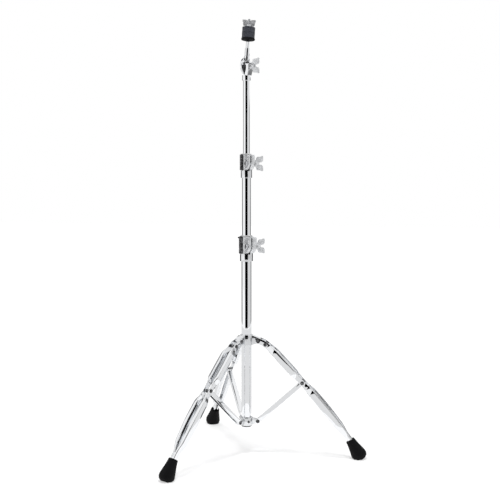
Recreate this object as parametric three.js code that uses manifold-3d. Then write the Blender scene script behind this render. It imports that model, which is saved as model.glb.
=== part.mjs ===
// Straight cymbal stand with a folding tripod, two height clamps and a tilter.
// Millimetres, +Z up the column. The origin is the centre of the flat bottom face of the
// plug that closes the base tube, so the floor lies below it by standHeights.plugAboveFloor.
// Leg 1 points along +X.

import * as THREE from 'three';
import { mergeVertices } from 'three/addons/utils/BufferGeometryUtils.js';
import Module from 'manifold-3d';

const wasm = await Module();
wasm.setup();

// Driving dimensions, in millimetres and degrees

const seatGap = 0.3; // between pieces that touch on the real stand
const slideGap = 0.35; // between pieces that slide or turn on each other
const overrun = 5; // how far a cutting tool passes the piece that it cuts

const tubes = {
  baseOuter: 28.6,
  middleOuter: 25.4,
  upperOuter: 19.05,
  wall: 1.2,
  middleLength: 460,
  upperLength: 490,
};

const standHeights = {
  plugAboveFloor: 77.5,
  lowerClamp: 496, // bottom of the lower clamp's jaw
  upperClamp: 728.5, // bottom of the upper clamp's jaw
  tubeIntoClamp: 2,
  tilterAxis: 1014,
};

const plug = { flange: 2.2, depth: 14, endRound: 0.6 };

const legCount = 3;
const linkage = {
  pivotRadius: 33.5, // of the pins in both collars, from the column's axis
  stayPivotHeight: 16.5,
  legPivotHeight: 249.5,
  waistRadius: 160.5,
  pinRadius: 3,
  headRadius: 5.4,
  headHeight: 2.2,
};

const legCollar = { outer: 37, height: 30, earHalfWidth: 8.5, earRadius: 8.3, below: 14 };
const stayCollar = { outer: 37, height: 22, earHalfWidth: 4.6, earRadius: 6.6, below: 11.5 };
const collarScrew = { radius: 2.5, headRadius: 4, headHeight: 7, azimuth: 60 };
const collarRivet = { radius: 2.2, headRadius: 3.6, headHeight: 1.8, azimuth: -60 };

const legBar = {
  sheet: 1.5,
  cornerRadius: 2.4,
  halfWidthAtHinge: 10.5,
  halfWidthAtWaist: 10.6,
  halfWidthSpread: 18.3, // where the two channels of a leg stand widest apart
  halfWidthInBoot: 7.2,
  halfSlot: 7.1, // from the middle of the leg to the free edge of a flange
  flatShare: 0.36, // of the way from the waist to the next place on the leg's line
  depthAtHinge: 16,
  depthUpper: 19,
  depthAtWaist: 15,
  depthLower: 21,
  depthInBoot: 14,
};

// Middle line of a leg in its own plane: distance from the column, height over the origin
const legLine = {
  neck: [50, 242.8],
  neckEnd: [62, 234],
  shoulder: [82, 216.5],
  upperMiddle: [111, 185.6],
  upperEnd: [133, 162.2],
  aboveWaist: [146, 148.4],
  belowWaist: [174.5, 119],
  lowerStart: [190, 102.5],
  lowerMiddle: [225, 62],
  lowerEnd: [262, 16.5],
  bootMouth: [286.5, -14],
  end: [302, -33],
};
const topRivetShare = 0.45; // of the way from neck to neckEnd
const spacerRadius = 4.6;

const stay = { depth: 12.6, halfWidth: 6.4, sheet: 1.5, webCutBack: 13 };

const boot = {
  mouth: [295.3, -25.2], // middle of the boot's mouth in the leg's plane
  slope: 58, // of its axis below the horizontal
  mouthRadius: 13,
  bulgeRadius: 21.6,
  length: 64.5,
  socketDepth: 14,
};
// Boot outline from mouth to toe: share of the length, share of the bulge radius
const bootOutlineShares = [
  [0, 0.565], [0.02, 0.6], [0.12, 0.63], [0.3, 0.73], [0.55, 0.9],
  [0.7, 0.995], [0.8, 0.985], [0.9, 0.85], [0.97, 0.56],
];

const clampSizes = {
  slit: 2.5,
  slitAzimuth: -55, // of the split between the ears
  hingeAngle: -75, // from the split to the jaw's hinge
  knuckleRadius: 5,
  hingeOut: 1.2, // of the hinge, from the face of the sleeve
  knuckleShare: 0.3, // of the body's height, for each of the two outer knuckles
  hingePinRadius: 2,
  hingePinHead: 1.6,
  hingePinHeadRadius: 3,
  boltRadius: 3.8,
  boltHeadRadius: 7,
  boltHeadHeight: 5,
  boltHoleGap: 0.85, // round the bolt in the fixed ear, so that the jaw can swing
  nutGap: 0.6, // in front of the fixed ear, taken up as the jaw opens
  jawGap: 0.5,
  bushingFlange: 2.2,
  bushingSlit: 2,
  reliefRadius: 2.7, // round hole at the foot of the split
  boltPastNut: 4,
};
const lowerClampSizes = {
  sleeveRadius: 18.75,
  sleeveHeight: 22.5,
  bodyHeight: 48,
  boltHeight: 21.2,
  earReach: 36,
  earFixed: 16,
  earJaw: 10,
  boltReach: 27.5,
};
const upperClampSizes = {
  sleeveRadius: 16,
  sleeveHeight: 22,
  bodyHeight: 43,
  boltHeight: 18,
  earReach: 29.5,
  earFixed: 13,
  earJaw: 9,
  boltReach: 22.5,
};
// Ear outline in the plane of the split: share of the reach, share of the body's height
const earOutlineShares = [
  [0.3, 0.02], [0.5, 0.02], [0.62, 0.06], [0.86, 0.2], [0.97, 0.3], [1, 0.4],
  [1, 0.86], [0.97, 0.94], [0.9, 0.98], [0.3, 0.98],
];

const clampNut = { span: 43, length: 26.4, hubRadius: 6.6, flangeRadius: 8.4, thickness: 5.2, screwRadius: 3.8 };
const cymbalNut = { span: 38, length: 22.4, hubRadius: 6.2, flangeRadius: 8.6, thickness: 4.6, screwRadius: 4 };
const nutFlangeShare = 0.08; // of the nut's length
const nutHubShare = 0.48;
// Outline of one wing: share of half the span, share of the nut's length
const wingOutlineShares = [
  [0, 0.03], [0.3, 0.05], [0.45, 0.14], [0.72, 0.24], [0.93, 0.33], [1, 0.47], [1, 0.86],
  [0.93, 0.97], [0.8, 1], [0.42, 1], [0.28, 0.94], [0.22, 0.82], [0.18, 0.52], [0, 0.45],
];

const tilter = {
  azimuth: -20, // of the bolt, towards its wing nut
  restTilt: 7,
  discRadius: 19,
  baseThickness: 12.6,
  headThickness: 10,
  washerThickness: 1.6,
  washerRadius: 15,
  edgeRound: 1.6,
  socketRadius: 12,
  socketHeight: 16.5,
  socketTopGap: 0.6, // between the turning discs and what they pass
  tubeDepth: 12,
  boltRadius: 3.8,
  boltHeadRadius: 8,
  boltHeadHeight: 4.4,
  bossRadius: 10,
  bossHeight: 7.4,
  rollPinRadius: 1.6,
};

// Rod heights are over the tilter's bolt, along the rod
const rod = {
  spigotRadius: 5,
  spigotStart: 22,
  thickRadius: 6.8,
  thickEnd: 49.5,
  stemRadius: 5,
  stemEnd: 71.7,
  threadRadius: 4,
  end: 130,
  endRound: 1.2,
  nutAzimuth: 10, // of the wings of its nut
};
const seat = { washerRadius: 19, washerHeight: 4, sleeveWall: 1.7, sleeveHeight: 26.7 };
const felt = { radius: 18.2, height: 14.2, boreGap: 0.4, edgeRound: 1.5 };

const facets = { tube: 32, small: 16, pin: 12, boot: 24, disc: 28 };

// Sizes that follow from the driving ones

const radius = {
  base: tubes.baseOuter / 2,
  middle: tubes.middleOuter / 2,
  upper: tubes.upperOuter / 2,
};
const floor = -standHeights.plugAboveFloor;
const legPivot = [linkage.pivotRadius, linkage.legPivotHeight];
const stayPivot = [linkage.pivotRadius, linkage.stayPivotHeight];
const waist = [linkage.waistRadius, (linkage.legPivotHeight + linkage.stayPivotHeight) / 2];
const stayLength = Math.hypot(waist[0] - stayPivot[0], waist[1] - stayPivot[1]);
const staySlope = Math.atan2(waist[1] - stayPivot[1], waist[0] - stayPivot[0]);
const baseTubeTop = standHeights.lowerClamp + standHeights.tubeIntoClamp;
const middleTubeTop = standHeights.upperClamp + standHeights.tubeIntoClamp;
const socketTop = -(tilter.discRadius + tilter.socketTopGap);
const upperTubeTop = standHeights.tilterAxis + socketTop - tilter.socketHeight + tilter.tubeDepth;

// Finishes

const finish = {
  chrome: { color: 0xd6d8da, roughness: 0.12, metalness: 1 },
  casting: { color: 0xcdd0d3, roughness: 0.2, metalness: 1 },
  steel: { color: 0xb9bdc1, roughness: 0.3, metalness: 1 },
  nylon: { color: 0x17181a, roughness: 0.55, metalness: 0 },
  rubber: { color: 0x0c0c0d, roughness: 0.75, metalness: 0 },
  felt: { color: 0x4c4d51, roughness: 0.97, metalness: 0 },
};

// Tools that turn geometries into solids and back

const degrees = (angle) => THREE.MathUtils.degToRad(angle);

function signedVolume(positions, indices) {
  const [a, b, c] = [new THREE.Vector3(), new THREE.Vector3(), new THREE.Vector3()];
  let volume = 0;
  for (let i = 0; i < indices.length; i += 3) {
    a.fromArray(positions, indices[i] * 3);
    b.fromArray(positions, indices[i + 1] * 3);
    c.fromArray(positions, indices[i + 2] * 3);
    volume += a.dot(b.cross(c)) / 6;
  }
  return volume;
}

function solid(geometry) {
  const plain = geometry.index ? geometry.clone() : mergeVertices(geometry.clone());
  plain.deleteAttribute('normal');
  plain.deleteAttribute('uv');
  const merged = mergeVertices(plain, 1e-4);
  const vertProperties = new Float32Array(merged.attributes.position.array);
  const kept = [];
  const source = merged.index.array;
  for (let i = 0; i < source.length; i += 3) {
    const [a, b, c] = [source[i], source[i + 1], source[i + 2]];
    if (a !== b && b !== c && a !== c) kept.push(a, b, c);
  }
  if (signedVolume(vertProperties, kept) < 0) kept.reverse();
  const triVerts = new Uint32Array(kept);
  return new wasm.Manifold(new wasm.Mesh({ numProp: 3, vertProperties, triVerts }));
}

function geometryOf(body) {
  const mesh = body.getMesh();
  const geometry = new THREE.BufferGeometry();
  geometry.setAttribute('position', new THREE.BufferAttribute(new Float32Array(mesh.vertProperties), 3));
  geometry.setIndex(new THREE.BufferAttribute(new Uint32Array(mesh.triVerts), 1));
  geometry.computeVertexNormals();
  return geometry;
}

function joined(first, ...others) {
  return others.reduce((body, other) => body.add(other), first);
}

function cut(first, ...others) {
  return others.reduce((body, other) => body.subtract(other), first);
}

// Solid of revolution about Z from [radius, height] pairs
function turned(profile, segments) {
  const points = profile.map(([r, z]) => new THREE.Vector2(r, z));
  const geometry = new THREE.LatheGeometry(points, segments);
  geometry.rotateX(Math.PI / 2);
  return solid(geometry);
}

// Upright cylinder with rounded edges
function post(r, bottom, top, segments = facets.small, edge = 0) {
  const profile = edge > 0
    ? [[0, bottom], [r - edge, bottom], [r, bottom + edge], [r, top - edge], [r - edge, top], [0, top]]
    : [[0, bottom], [r, bottom], [r, top], [0, top]];
  return turned(profile, segments);
}

// Upright ring whose outer edges are rounded
function ring(outer, inner, bottom, top, segments = facets.tube, edge = 0) {
  const profile = [[inner, bottom], [outer - edge, bottom]];
  if (edge > 0) profile.push([outer, bottom + edge], [outer, top - edge]);
  profile.push([outer - edge, top], [inner, top], [inner, bottom]);
  return turned(profile, segments);
}

// Cylinder along Y at a given distance and height
function crossPost(r, x, z, from, to, segments = facets.pin, edge = 0) {
  const geometry = geometryOf(post(r, from, to, segments, edge));
  geometry.rotateX(-Math.PI / 2);
  geometry.translate(x, 0, z);
  return solid(geometry);
}

// Plate in the XZ plane between two Y places, from an outline of [x, z] pairs
function plate(outline, from, to) {
  const shape = new THREE.Shape(outline.map(([x, z]) => new THREE.Vector2(x, z)));
  const geometry = new THREE.ExtrudeGeometry(shape, { depth: to - from, bevelEnabled: false });
  geometry.rotateX(Math.PI / 2);
  geometry.translate(0, to, 0);
  return solid(geometry);
}

function block(width, depth, height, x, y, z) {
  const geometry = new THREE.BoxGeometry(width, depth, height);
  geometry.translate(x, y, z);
  return solid(geometry);
}

function moved(body, change) {
  const geometry = geometryOf(body);
  change(geometry);
  return solid(geometry);
}

function arc(x, z, r, from, to, steps) {
  const points = [];
  for (let i = 0; i <= steps; i += 1) {
    const angle = degrees(from + ((to - from) * i) / steps);
    points.push([x + r * Math.cos(angle), z + r * Math.sin(angle)]);
  }
  return points;
}

function named(name, body, look) {
  const mesh = new THREE.Mesh(geometryOf(body), new THREE.MeshStandardMaterial(finish[look]));
  mesh.name = name;
  return mesh;
}

// Column tubes and the plug

function tube(outerRadius, bottom, top) {
  const inner = outerRadius - tubes.wall;
  return ring(outerRadius, inner, bottom, top, facets.tube);
}

function endPlug() {
  const inner = radius.base - tubes.wall - seatGap;
  const flangeRadius = radius.base;
  const profile = [
    [0, 0], [flangeRadius - plug.endRound, 0], [flangeRadius, plug.endRound],
    [flangeRadius, plug.flange], [inner, plug.flange], [inner, plug.flange + plug.depth],
    [inner - tubes.wall * 2, plug.flange + plug.depth], [inner - tubes.wall * 2, plug.flange + plug.endRound],
    [0, plug.flange + plug.endRound],
  ];
  return turned(profile, facets.tube);
}

// Collars with three ears

function collar(sizes, pivotHeight, screw) {
  const bottom = pivotHeight - sizes.below;
  const top = bottom + sizes.height;
  const outer = sizes.outer / 2;
  const bore = radius.base + slideGap;
  const [x, z] = [linkage.pivotRadius, pivotHeight];
  const root = (bore + outer) / 2;
  const ear = [
    [root, bottom + tubes.wall],
    ...arc(x, z, sizes.earRadius, -80, 80, 8),
    [root, top - tubes.wall],
  ];
  let body = ring(outer, bore, bottom, top, facets.tube, tubes.wall);
  for (let leg = 0; leg < legCount; leg += 1) {
    const hole = crossPost(linkage.pinRadius + slideGap, x, z, -outer, outer);
    const lug = cut(plate(ear, -sizes.earHalfWidth, sizes.earHalfWidth), hole);
    body = body.add(moved(lug, (g) => g.rotateZ(degrees((360 / legCount) * leg))));
  }
  const middle = (bottom + top) / 2;
  return body.subtract(radialPost(screw.radius + seatGap, bore - overrun, outer + overrun, middle, screw.azimuth));
}

function radialPost(r, from, to, height, azimuth, segments = facets.pin, edge = 0) {
  return moved(post(r, from, to, segments, edge), (g) => {
    g.rotateY(Math.PI / 2);
    g.rotateZ(degrees(azimuth));
    g.translate(0, 0, height);
  });
}

// Screw or rivet that holds a collar on the tube
function collarFixing(sizes, pivotHeight, screw) {
  const middle = pivotHeight - sizes.below + sizes.height / 2;
  const face = sizes.outer / 2 + seatGap;
  const shank = radialPost(screw.radius, radius.base + seatGap / 2, face + tubes.wall, middle, screw.azimuth);
  const head = radialPost(
    screw.headRadius, face, face + screw.headHeight, middle, screw.azimuth, facets.small, tubes.wall / 2,
  );
  return shank.add(head);
}

// Pin or rivet through a leg or a stay, along Y, with a head at each end
function headedPin(place, halfGrip, shoulderRadius = 0) {
  const { pinRadius, headRadius, headHeight } = linkage;
  const face = halfGrip + seatGap;
  const edge = headHeight / 2;
  const shoulder = halfGrip - legBar.sheet - seatGap;
  const half = [[0, face + headHeight], [headRadius - edge, face + headHeight], [headRadius, face], [pinRadius, face]];
  if (shoulderRadius > 0) half.push([pinRadius, shoulder], [shoulderRadius, shoulder]);
  const profile = [...half, ...half.map(([r, y]) => [r, -y]).reverse()];
  return moved(turned(profile, facets.pin), (g) => {
    g.rotateX(-Math.PI / 2);
    g.translate(place[0], 0, place[1]);
  });
}

// A leg's channels, as a loft of C-shaped sections along the leg's middle line

function barStations() {
  const { halfSlot, sheet } = legBar;
  const flat = sheet * 1.1;
  const spread = legBar.halfWidthSpread;
  const station = (place, depth, halfWidth, flange) => ({ place, depth, halfWidth, flange });
  const between = (a, b, share) => a + (b - a) * share;
  const towards = (from, to) => from.map((a, k) => between(a, to[k], legBar.flatShare));
  const openEnd = between(legBar.halfWidthAtWaist, spread, 0.15);
  const nearEnd = between(legBar.halfWidthAtWaist, spread, 0.83);
  return [
    station(legPivot, legBar.depthAtHinge, legBar.halfWidthAtHinge, flat),
    station(legLine.neck, legBar.depthAtHinge, legBar.halfWidthAtHinge, flat),
    station(legLine.neckEnd, legBar.depthAtHinge, legBar.halfWidthAtHinge, flat),
    station(legLine.shoulder, between(legBar.depthAtHinge, legBar.depthUpper, 0.8), nearEnd, nearEnd - halfSlot),
    station(legLine.upperMiddle, legBar.depthUpper, spread, spread - halfSlot),
    station(legLine.upperEnd, legBar.depthUpper, nearEnd, nearEnd - halfSlot),
    station(legLine.aboveWaist, between(legBar.depthAtWaist, legBar.depthUpper, 0.4), openEnd, openEnd - halfSlot - sheet / 2),
    station(towards(waist, legLine.aboveWaist), legBar.depthAtWaist, legBar.halfWidthAtWaist, flat),
    station(waist, legBar.depthAtWaist, legBar.halfWidthAtWaist, flat),
    station(towards(waist, legLine.belowWaist), legBar.depthAtWaist, legBar.halfWidthAtWaist, flat),
    station(legLine.belowWaist, between(legBar.depthAtWaist, legBar.depthLower, 0.35), openEnd, openEnd - halfSlot - sheet / 2),
    station(legLine.lowerStart, between(legBar.depthAtWaist, legBar.depthLower, 0.85), nearEnd, nearEnd - halfSlot),
    station(legLine.lowerMiddle, legBar.depthLower, spread, spread - halfSlot),
    station(legLine.lowerEnd, between(legBar.depthInBoot, legBar.depthLower, 0.6), between(legBar.halfWidthInBoot, spread, 0.6),
      between(legBar.halfWidthInBoot, spread, 0.6) - halfSlot),
    station(legLine.bootMouth, legBar.depthInBoot, legBar.halfWidthInBoot, legBar.halfWidthInBoot - sheet),
    station(legLine.end, legBar.depthInBoot, legBar.halfWidthInBoot, legBar.halfWidthInBoot - sheet),
  ];
}

// Closed C section: [across the leg's plane, along the depth] pairs, outer side first
function channelSection({ depth, halfWidth, flange }) {
  const { sheet, cornerRadius } = legBar;
  const half = depth / 2;
  const free = halfWidth - flange;
  const web = halfWidth - sheet;
  const soft = Math.min(cornerRadius, flange / 2);
  return [
    [free, -half], [halfWidth - soft, -half], [halfWidth, -half + soft],
    [halfWidth, half - soft], [halfWidth - soft, half], [free, half],
    [free, half - sheet], [web, half - sheet], [web, -half + sheet], [free, -half + sheet],
  ];
}

function channelBar(side) {
  const stations = barStations();
  const points = stations.map(({ place }) => new THREE.Vector3(place[0], 0, place[1]));
  const line = new THREE.CatmullRomCurve3(points, false, 'centripetal');
  const stepsPerSpan = 2;
  const steps = (stations.length - 1) * stepsPerSpan;
  const rings = [];
  for (let i = 0; i <= steps; i += 1) {
    const at = i / steps;
    const place = line.getPoint(at);
    const along = line.getTangent(at);
    const span = Math.min(Math.floor(i / stepsPerSpan), stations.length - 2);
    const share = THREE.MathUtils.smoothstep(i / stepsPerSpan - span, 0, 1);
    const [a, b] = [stations[span], stations[span + 1]];
    const section = channelSection({
      depth: THREE.MathUtils.lerp(a.depth, b.depth, share),
      halfWidth: THREE.MathUtils.lerp(a.halfWidth, b.halfWidth, share),
      flange: THREE.MathUtils.lerp(a.flange, b.flange, share),
    });
    rings.push(section.map(([y, n]) => [place.x - along.z * n, side * y, place.z + along.x * n]));
  }
  return solid(loftGeometry(rings));
}

// Skin over rings of equal point count, capped as a strip because each ring is a folded strip
function loftGeometry(rings) {
  const count = rings[0].length;
  const indices = [];
  for (let i = 0; i < rings.length - 1; i += 1) {
    for (let j = 0; j < count; j += 1) {
      const [a, b] = [i * count + j, i * count + ((j + 1) % count)];
      indices.push(a, b, a + count, b, b + count, a + count);
    }
  }
  for (const [first, flip] of [[0, true], [(rings.length - 1) * count, false]]) {
    for (let j = 0; j < count / 2 - 1; j += 1) {
      const [a, b] = [first + j, first + j + 1];
      const [c, d] = [first + count - 1 - j, first + count - 2 - j];
      if (flip) indices.push(a, c, b, b, c, d);
      else indices.push(a, b, c, b, d, c);
    }
  }
  const geometry = new THREE.BufferGeometry();
  geometry.setAttribute('position', new THREE.Float32BufferAttribute(rings.flat(2), 3));
  geometry.setIndex(indices);
  return geometry;
}

function topRivetPlace() {
  const [a, b] = [legLine.neck, legLine.neckEnd];
  return [a[0] + (b[0] - a[0]) * topRivetShare, a[1] + (b[1] - a[1]) * topRivetShare];
}

function legBarSolid(side) {
  const web = legBar.halfWidthAtHinge;
  const [from, to] = side > 0 ? [web - legBar.sheet, web] : [-web, legBar.sheet - web];
  const [x, z] = legPivot;
  const eye = crossPost(legBar.depthAtHinge / 2, x, z, from, to, facets.small);
  const reach = legBar.halfWidthSpread;
  const drill = ([px, pz], r) => crossPost(r, px, pz, Math.min(0, side * reach), Math.max(0, side * reach));
  return cut(
    channelBar(side).add(eye),
    drill(legPivot, linkage.pinRadius + slideGap),
    drill(topRivetPlace(), linkage.pinRadius + seatGap),
    drill(waist, linkage.pinRadius + seatGap),
  );
}

// Stay: channel strut with its web on top, drawn along X and then set to its slope

function staySolid() {
  const half = stay.depth / 2;
  const outline = [...arc(stayLength, 0, half, -90, 90, 8), ...arc(0, 0, half, 90, 270, 8)];
  const inside = stay.halfWidth - stay.sheet;
  const hollow = block(
    stayLength + stay.depth * 2, inside * 2, stay.depth, stayLength / 2, 0, -stay.sheet,
  );
  const endCut = (x) => block(stay.webCutBack * 2, inside * 2, stay.depth * 2, x, 0, 0);
  const pivotHole = (x) => crossPost(linkage.pinRadius + slideGap, x, 0, -stay.depth, stay.depth);
  const strut = cut(
    plate(outline, -stay.halfWidth, stay.halfWidth),
    hollow, endCut(0), endCut(stayLength), pivotHole(0), pivotHole(stayLength),
  );
  return moved(strut, (g) => {
    g.rotateY(-staySlope);
    g.translate(stayPivot[0], 0, stayPivot[1]);
  });
}

// Rubber boot, cut flat where it stands on the floor

function bootSolid() {
  const outline = bootOutlineShares.map(([s, r]) => [r * boot.bulgeRadius, -s * boot.length]);
  const profile = [[0, 0], ...outline, [0, -boot.length]];
  const place = (g) => {
    g.rotateY(-degrees(90 - boot.slope));
    g.translate(boot.mouth[0], 0, boot.mouth[1]);
  };
  const body = moved(turned(profile, facets.boot), place);
  const socket = socketTool();
  const far = boot.length * 2;
  const ground = block(far, far, boot.length, boot.mouth[0], 0, floor - boot.length / 2);
  return cut(body, ground, socket);
}

// Square hole for the ends of the two channels, along the end of the leg's middle line
function socketTool() {
  const [a, b] = [legLine.bootMouth, legLine.end];
  const slope = Math.atan2(b[1] - a[1], b[0] - a[0]);
  const length = Math.hypot(b[0] - a[0], b[1] - a[1]) + seatGap;
  const width = (legBar.halfWidthInBoot + seatGap) * 2;
  const depth = legBar.depthInBoot + seatGap * 2;
  const geometry = new THREE.BoxGeometry(length, width, depth);
  geometry.translate(length / 2, 0, 0);
  geometry.rotateY(-slope);
  geometry.translate(a[0], 0, a[1]);
  return solid(geometry);
}

// Height clamps, drawn with the split along +X and the bolt along +Y, foot of the jaw at zero

function hingePlace(sizes) {
  const angle = degrees(clampSizes.hingeAngle);
  const reach = sizes.sleeveRadius + clampSizes.hingeOut;
  return [reach * Math.cos(angle), reach * Math.sin(angle)];
}

function upright(r, [x, y], bottom, top, segments = facets.small, edge = 0) {
  return moved(post(r, bottom, top, segments, edge), (g) => g.translate(x, y, 0));
}

// Wedge from the hinge to the split, as seen from above, drawn back by a gap at the hinge
function jawWedge(sizes, gapAtHinge, splitEdge, bottom, top) {
  const reach = sizes.earReach * 2;
  const angle = degrees(clampSizes.hingeAngle);
  const along = [Math.cos(angle), Math.sin(angle)];
  const side = [-along[1] * gapAtHinge, along[0] * gapAtHinge];
  const back = (splitEdge - side[1]) / along[1];
  const onHingeLine = (distance) => [side[0] + along[0] * distance, side[1] + along[1] * distance];
  const outline = [onHingeLine(back), onHingeLine(reach), [reach, -reach], [reach, splitEdge]];
  const shape = new THREE.Shape(outline.map(([x, y]) => new THREE.Vector2(x, y)));
  const geometry = new THREE.ExtrudeGeometry(shape, { depth: top - bottom, bevelEnabled: false });
  geometry.translate(0, 0, bottom);
  return solid(geometry);
}

function knuckleRanges({ bodyHeight }) {
  const low = bodyHeight * clampSizes.knuckleShare;
  return { outer: [[0, low], [bodyHeight - low, bodyHeight]], middle: [low, bodyHeight - low] };
}

function clampTools(sizes, tubeRadius) {
  const { bodyHeight } = sizes;
  const bore = post(tubeRadius + seatGap, -sizes.sleeveHeight - overrun, bodyHeight + overrun, facets.tube);
  const ear = earOutlineShares.map(([r, h]) => [r * sizes.earReach, h * bodyHeight]);
  const hinge = hingePlace(sizes);
  const pinHole = upright(clampSizes.hingePinRadius + seatGap, hinge, -overrun, bodyHeight + overrun, facets.pin);
  return { bore, ear, hinge, pinHole, halfSlit: clampSizes.slit / 2 };
}

function clampBody(sizes, tubeRadius) {
  const { knuckleRadius, jawGap, reliefRadius, boltRadius, boltHoleGap } = clampSizes;
  const { bodyHeight, boltHeight } = sizes;
  const { bore, ear, hinge, pinHole, halfSlit } = clampTools(sizes, tubeRadius);
  const barrel = post(sizes.sleeveRadius, -sizes.sleeveHeight, bodyHeight, facets.tube, tubes.wall);
  const wedge = jawWedge(sizes, 0, halfSlit, 0, bodyHeight + overrun);
  const fixedEar = plate(ear, halfSlit, sizes.earFixed);
  const { outer, middle } = knuckleRanges(sizes);
  let body = barrel.subtract(wedge).add(fixedEar);
  for (const [bottom, top] of outer) {
    body = body.add(upright(knuckleRadius, hinge, bottom, top - seatGap / 2, facets.small, tubes.wall / 2));
  }
  const room = upright(knuckleRadius + jawGap, hinge, middle[0] - seatGap / 2, middle[1] + seatGap / 2);
  const boltHole = crossPost(boltRadius + boltHoleGap, sizes.boltReach, boltHeight, 0, sizes.earReach);
  const relief = radialPost(reliefRadius, tubeRadius, sizes.earReach, 0, 0);
  return cut(body, room, bore, pinHole, boltHole, relief);
}

function clampJaw(sizes, tubeRadius) {
  const { knuckleRadius, jawGap, boltRadius, reliefRadius } = clampSizes;
  const { bodyHeight, boltHeight } = sizes;
  const { bore, ear, hinge, pinHole, halfSlit } = clampTools(sizes, tubeRadius);
  const shell = post(sizes.sleeveRadius, jawGap, bodyHeight, facets.tube, tubes.wall);
  const wedge = jawWedge(sizes, jawGap, -halfSlit, 0, bodyHeight + overrun);
  const movingEar = plate(ear, -sizes.earJaw, -halfSlit);
  const { outer, middle } = knuckleRanges(sizes);
  const knuckle = upright(
    knuckleRadius, hinge, middle[0] + seatGap / 2, middle[1] - seatGap / 2, facets.small, tubes.wall / 2,
  );
  const rooms = outer.map(([bottom, top]) => upright(knuckleRadius + jawGap, hinge, bottom - overrun, top + seatGap / 2));
  rooms[1] = upright(knuckleRadius + jawGap, hinge, outer[1][0] - seatGap / 2, outer[1][1] + overrun);
  const boltHole = crossPost(boltRadius + seatGap, sizes.boltReach, boltHeight, -sizes.earReach, 0);
  const relief = radialPost(reliefRadius, tubeRadius, sizes.earReach, 0, 0);
  const door = shell.intersect(wedge).add(movingEar);
  return cut(cut(door, ...rooms).add(knuckle), bore, pinHole, boltHole, relief);
}

function clampHingePin(sizes) {
  const { hingePinRadius, hingePinHead, hingePinHeadRadius } = clampSizes;
  const { bodyHeight } = sizes;
  const hinge = hingePlace(sizes);
  const shank = upright(hingePinRadius, hinge, -hingePinHead, bodyHeight + hingePinHead, facets.pin);
  const headTop = bodyHeight + seatGap + hingePinHead;
  const head = upright(hingePinHeadRadius, hinge, bodyHeight + seatGap, headTop, facets.pin, hingePinHead / 3);
  return shank.add(head);
}

function clampBolt(sizes) {
  const { boltRadius, boltHeadRadius, boltHeadHeight, nutGap, boltPastNut } = clampSizes;
  const height = sizes.boltHeight;
  const face = -sizes.earJaw - seatGap;
  const end = sizes.earFixed + nutGap + clampNut.length * nutHubShare + boltPastNut;
  const shank = crossPost(boltRadius, sizes.boltReach, height, face - tubes.wall, end, facets.pin, tubes.wall / 2);
  const head = crossPost(boltHeadRadius, sizes.boltReach, height, face - boltHeadHeight, face, 6, tubes.wall);
  return shank.add(head);
}

// Split nylon bushing between a clamp and the tube that slides in it
function clampBushing(sizes, tubeRadius, innerRadius) {
  const { bushingFlange, bushingSlit } = clampSizes;
  const { bodyHeight } = sizes;
  const inner = innerRadius + slideGap;
  const bottom = standHeights.tubeIntoClamp + seatGap;
  const top = bodyHeight + seatGap + bushingFlange;
  const flange = sizes.sleeveRadius - tubes.wall * 2;
  const profile = [
    [inner, bottom], [tubeRadius, bottom], [tubeRadius, bodyHeight + seatGap], [flange, bodyHeight + seatGap],
    [flange, top - bushingFlange / 3], [flange - bushingFlange / 3, top], [inner, top], [inner, bottom],
  ];
  const split = block(flange * 2, bushingSlit, bodyHeight * 3, -flange, 0, 0);
  return turned(profile, facets.tube).subtract(split);
}

// Wing nut along +Y, with its face at a given place
function wingNut(sizes, x, z, face) {
  const flange = sizes.length * nutFlangeShare;
  const hub = sizes.length * nutHubShare;
  const profile = [
    [0, 0], [sizes.flangeRadius, 0], [sizes.flangeRadius, flange], [sizes.hubRadius, flange * 2],
    [sizes.hubRadius * 0.9, hub - flange / 2], [sizes.hubRadius * 0.75, hub], [0, hub],
  ];
  const wing = wingOutlineShares.map(([r, h]) => [(r * sizes.span) / 2, h * sizes.length]);
  const rounded = new THREE.SplineCurve(wing.slice(1, -1).map(([r, h]) => new THREE.Vector2(r, h)));
  const points = rounded.getPoints(wingOutlineShares.length * 2 - 6).map((p) => [p.x, p.y]);
  const outline = [wing[0], ...points, wing[wing.length - 1]];
  const mirrored = outline.slice(1, -1).reverse().map(([r, h]) => [-r, h]);
  const blades = plate([...outline, ...mirrored], -sizes.thickness / 2, sizes.thickness / 2);
  const screwHole = post(sizes.screwRadius + seatGap, -overrun, sizes.length + overrun, facets.pin);
  const nut = cut(turned(profile, facets.small).add(blades), screwHole);
  return moved(nut, (g) => {
    g.rotateX(-Math.PI / 2);
    g.rotateY(Math.PI / 2);
    g.translate(x, face, z);
  });
}

function clampGroup(prefix, sizes, tubeRadius, innerRadius, height) {
  const group = new THREE.Group();
  const nutFace = sizes.earFixed + clampSizes.nutGap;
  group.add(named(`${prefix}_body`, clampBody(sizes, tubeRadius), 'casting'));
  group.add(named(`${prefix}_jaw`, clampJaw(sizes, tubeRadius), 'casting'));
  group.add(named(`${prefix}_hinge_pin`, clampHingePin(sizes), 'steel'));
  group.add(named(`${prefix}_bushing`, clampBushing(sizes, tubeRadius, innerRadius), 'nylon'));
  group.add(named(`${prefix}_bolt`, clampBolt(sizes), 'steel'));
  group.add(named(`${prefix}_wing_nut`, wingNut(clampNut, sizes.boltReach, sizes.boltHeight, nutFace), 'casting'));
  group.rotation.z = degrees(clampSizes.slitAzimuth);
  group.position.z = height;
  return group;
}

// Tilter, drawn with its bolt along +Y and through the origin

function tilterDisc(from, to) {
  return crossPost(tilter.discRadius, 0, 0, from, to, facets.disc, tilter.edgeRound);
}

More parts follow.
